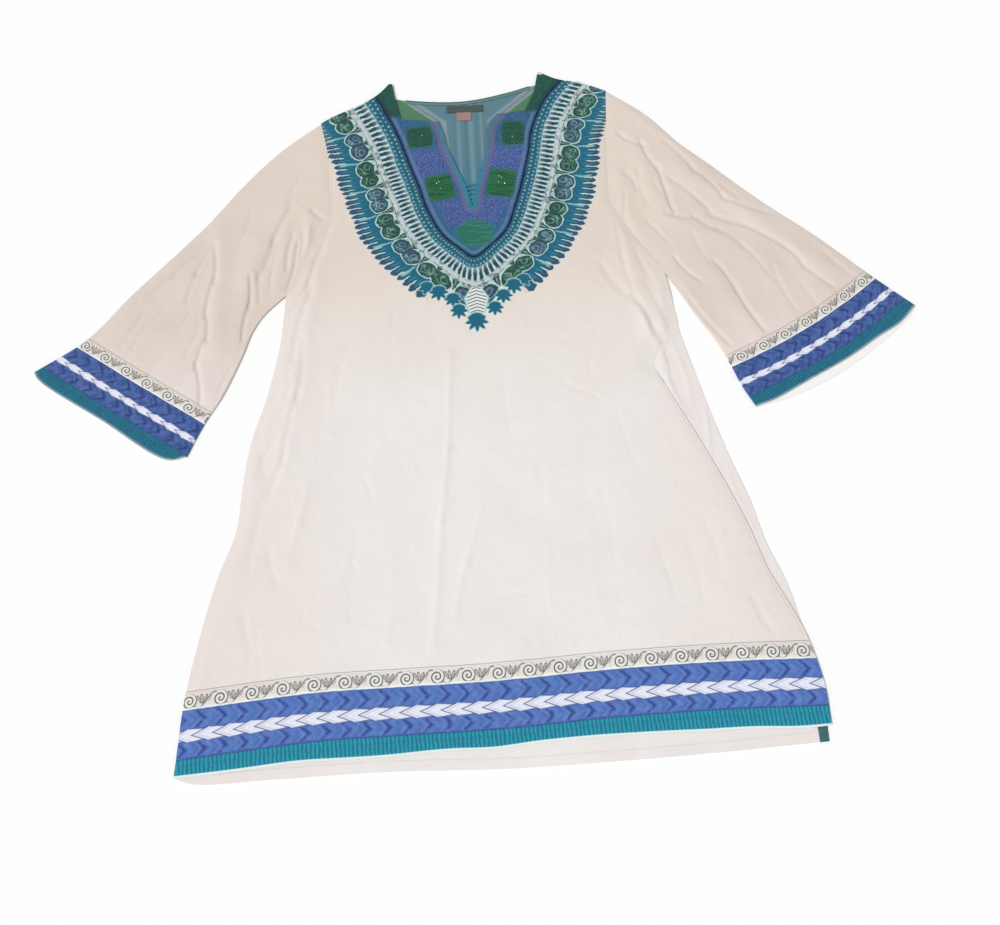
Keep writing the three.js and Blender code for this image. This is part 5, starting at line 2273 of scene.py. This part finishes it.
@dataclass
class Embroidery:
    """Stitched blocks, curled cords, sequins and the bars that close the slit's foot."""

    garment: Garment
    front: FrontPanel
    seed: int = 5
    row_step: float = 1.75  # from one row of a block to the next
    shortest: float = 3.0  # half rows shorter than this are left out
    ragged: tuple[float, float] = (-0.6, 1.4)  # how far a row's ends stray
    break_stray: float = 3.0  # how far the two breaks in a row stray
    row_stray: float = 0.45
    sequin_reach: float = 0.36  # share of a block over which its sequins lie, each way
    shade_share: float = 0.42  # share of a square block's stitches in its darker thread
    pale_share: float = 0.22  # share of the oval's in its paler thread
    curl_step: float = 7.6  # from one curl to the next
    curl_stray: float = 2.6

    def build(self) -> None:
        """Build every kind of stitch on the yoke."""
        random = np.random.default_rng(self.seed)
        spangles = self._blocks(random)
        self._curls(random)
        self._ladder()
        self._cord()
        finish = Spangle().make()
        self._scatter("yoke_sequins", self.garment.growth.discs, spangles, {"Radius": 1.05}, finish)

    def _blocks(self, random: np.random.Generator) -> Points:
        """Fill the blocks with close rows of stitches in two tones each.

        Args:
            random: Source of the uneven ends, rows and tones.

        Returns:
            Places of the blocks' sequins.
        """
        tones = {
            "green": Thread("green_silk", "#258038", 0.5).make(),
            "dark": Thread("dark_green_silk", "#17502C", 0.5).make(),
            "dull": Thread("grey_green_silk", "#1E5C47", 0.55).make(),
            "shade": Thread("shade_green_silk", "#1B4A4A", 0.55).make(),
            "oval": Thread("sea_green_silk", "#2C7F66", 0.5).make(),
            "pale": Thread("pale_green_silk", "#3F9A80", 0.5, 0.15).make(),
        }
        rows: dict[str, list[Points]] = {tone: [] for tone in tones}
        spangles: list[Points] = []
        for block in BLOCKS:
            for offset in np.arange(-block.height / 2, block.height / 2, self.row_step):
                rise = abs(2 * offset / block.height)
                wide = block.width / 2 * (1 - rise ** (2 if block.round else 7)) ** 0.5
                if wide < self.shortest:
                    continue
                start, stop = random.uniform(*self.ragged) - wide, wide - random.uniform(*self.ragged)
                ends = np.linspace(start, stop, 4)
                ends[1:3] += random.uniform(-self.break_stray, self.break_stray, 2)
                for start, stop in zip(ends[:-1], ends[1:], strict=True):
                    x = np.linspace(start, stop, 5)
                    stray = random.uniform(-self.row_stray, self.row_stray, len(x))
                    line = block.placed(np.column_stack([x, offset + stray]))
                    tone = self._tone(block, random.uniform())
                    rows[tone].append(dropped(line, self.front.surface, 0.2))
            places = random.uniform(-self.sequin_reach, self.sequin_reach, (block.sequins, 2))
            places *= (block.width, block.height)
            spangles.append(block.placed(places))
        for tone, finish in tones.items():
            self.garment.sew(f"yoke_blocks_{tone}", rows[tone], finish, (2.9, 3.4, 1.25))
        return dropped(np.vstack(spangles), self.front.surface, 0.75)

    def _tone(self, block: Block, chance: float) -> str:
        """Pick the thread of one stretch of a block's row.

        Args:
            block: The block.
            chance: A random number from 0 to 1.

        Returns:
            Name of the tone.
        """
        if block.round:
            return "pale" if chance < self.pale_share else "oval"
        main, shaded = ("dull", "shade") if block.dull else ("green", "dark")
        return shaded if chance < self.shade_share else main

    def _curls(self, random: np.random.Generator) -> None:
        """Couch curled cords between the blocks.

        Args:
            random: Source of their uneven places.
        """
        places = []
        for left, right, low, high in (
            (-80, -46, 758, 788), (30, 72, 764, 788), (-42, -12, 672, 706), (4, 44, 674, 712),
        ):
            for y in np.arange(low, high, self.curl_step):
                for x in np.arange(left, right, self.curl_step):
                    places.append([at + random.uniform(-self.curl_stray, self.curl_stray) for at in (x, y)])
        spots = np.array(places)
        depth = neck_place(spots)[:, 1]
        slit = distance_to(joined(smooth(LEFT_SLIT[::-1], 60), smooth(RIGHT_SLIT, 60)), spots)
        spots = dropped(spots[((depth > 8) | (depth < -0.07)) & (slit > 15)], self.front.surface, 0.25)
        purple = Thread("purple_silk", "#6672B6", 0.5, 0.15).make()
        sizes = {"Radius": 3.1, "Thickness": 0.5}
        self._scatter("yoke_curls", self.garment.growth.spirals, spots, sizes, purple)

    def _ladder(self) -> None:
        """Close the slit's foot with bars of teal thread."""
        bars = []
        for y, half in ((731, 8.6), (724, 7.8), (717, 7.0), (710, 6.2), (703, 5.4), (697, 4.6)):
            for step in (-0.9, 0.0, 0.9):
                x = np.linspace(SLIT_FOOT[0] - half, SLIT_FOOT[0] + half, 7)
                bars.append(np.column_stack([x, np.full(7, y + step), np.full(7, PILE + 0.6)]))
        teal = Thread("teal_silk", "#1F93AC", 0.5, 0.3).make()
        self.garment.sew("slit_bars", bars, teal, (2.4, 2.9, 1.5))

    def _cord(self) -> None:
        """Couch a navy cord round the yoke, as far as the front reaches."""
        line = smooth([row[1:3] for row in NECK_STATIONS], 420)
        chest = [LEFT_ARMHOLE, LEFT_SHOULDER, (0, 1200), RIGHT_SHOULDER[::-1], RIGHT_ARMHOLE[::-1]]
        line = dropped(line[inside(np.vstack(chest), line)], self.front.surface, 0.25)
        navy = Thread("navy_cord", INKS.navy, 0.6).make()
        self.garment.sew("yoke_cord", [line], navy, (1.9, 2.7, 2.2))

    def _scatter(
        self, name: str, tree: NodeTree, spots: Points, sizes: dict[str, float],
        finish: Material,
    ) -> None:
        """Put a small thing on each spot.

        Args:
            name: Name of the piece.
            tree: Tree that makes the thing.
            spots: Places as (x, y, z).
            sizes: The tree's sizes.
            finish: Material of the things.
        """
        garment = self.garment
        paths = [spot[None] for spot in spots]
        garment.keep(garment.growth.grow(name, tree, paths, sizes, finish, garment.frame), "cloth")


@dataclass
class Studio:
    """Pale floor, soft light and a camera held above the hem."""

    frame: Frame
    height: float = 1.1036  # of the camera, in metres
    tilt: float = 70.0  # how far down the camera looks, in degrees
    over: tuple[float, float] = (-10.8, -67.8)  # place above which it hangs, in millimetres
    heading: tuple[float, float] = (0.0559, 0.9984)  # the way that it faces, seen from above
    lens: float = 35.0
    sky: float = 0.52
    key_power: float = 2.05
    key_spread: float = 9.0  # width of the key in the sky, in degrees, which softens its shadows
    key_way: tuple[float, float, float] = (0.62, 0.42, -0.92)  # the way that the key's light goes
    floor: tuple[float, float] = (6.0, 0.0004)  # half its width and its depth below the dress, in metres

    def build(self) -> None:
        """Set the floor, the lights and the camera."""
        self._floor()
        self._lights()
        self._camera()

    def _floor(self) -> None:
        """Lay a plain pale floor under the dress, of matt paper, which scatters light evenly."""
        half, depth = self.floor
        corners = [(x, y, -depth) for x, y in ((-half, -half), (half, -half), (half, half), (-half, half))]
        mesh = bpy.data.meshes.new("floor")
        mesh.from_pydata(corners, [], [(0, 1, 2, 3)])
        floor = bpy.data.objects.new("floor", mesh)
        bpy.context.collection.objects.link(floor)
        paper, _ = begun_material("floor_paper")
        surface = {"Base Color": linear("#FBFBFB"), "Roughness": 0.95}
        mesh.materials.append(ended_material(paper, "#FBFBFB", surface))

    def _lights(self) -> None:
        """Hang a soft key at the lower left and surround it with an even sky."""
        lamp = bpy.data.lights.new("key", "SUN")
        lamp.angle = math.radians(self.key_spread)
        lamp.energy = self.key_power
        holder = bpy.data.objects.new("key", lamp)
        holder.rotation_euler = Vector(self.key_way).to_track_quat("-Z", "Y").to_euler()
        bpy.context.collection.objects.link(holder)
        world = bpy.data.worlds.new("studio")
        world.use_nodes = True
        world.node_tree.nodes["Background"].inputs["Color"].default_value = linear("#FFFFFF")
        world.node_tree.nodes["Background"].inputs["Strength"].default_value = self.sky
        bpy.context.scene.world = world
        bpy.context.scene.view_settings.view_transform = "Standard"

    def _camera(self) -> None:
        """Point the camera at the dress from above its hem."""
        data = bpy.data.cameras.new("camera")
        data.sensor_width = 36.0
        data.lens = self.lens
        camera = bpy.data.objects.new("camera", data)
        x, y, _ = self.frame.metres(np.array([*self.over, 0.0]))
        camera.location = (x, y, self.height)
        level, down = math.cos(math.radians(self.tilt)), math.sin(math.radians(self.tilt))
        aim = Vector((self.heading[0] * level, self.heading[1] * level, -down))
        camera.rotation_euler = aim.to_track_quat("-Z", "Y").to_euler()
        bpy.context.collection.objects.link(camera)
        bpy.context.scene.camera = camera


def main() -> None:
    """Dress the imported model."""
    logging.basicConfig(level=logging.INFO, format="%(name)s: %(message)s")
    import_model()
    frame = Frame.from_label()
    Studio(frame).build()
    garment = Garment(frame)
    BackPanel(garment).build()
    front = FrontPanel(garment)
    front.build()
    sleeves = {side: Sleeve(garment, side) for side in Side}
    for sleeve in sleeves.values():
        sleeve.build()
    NeckTrim(garment).build()
    Sewing(garment, front, sleeves).build()
    Embroidery(garment, front).build()
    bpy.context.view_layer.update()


if __name__ == "__main__":
    main()
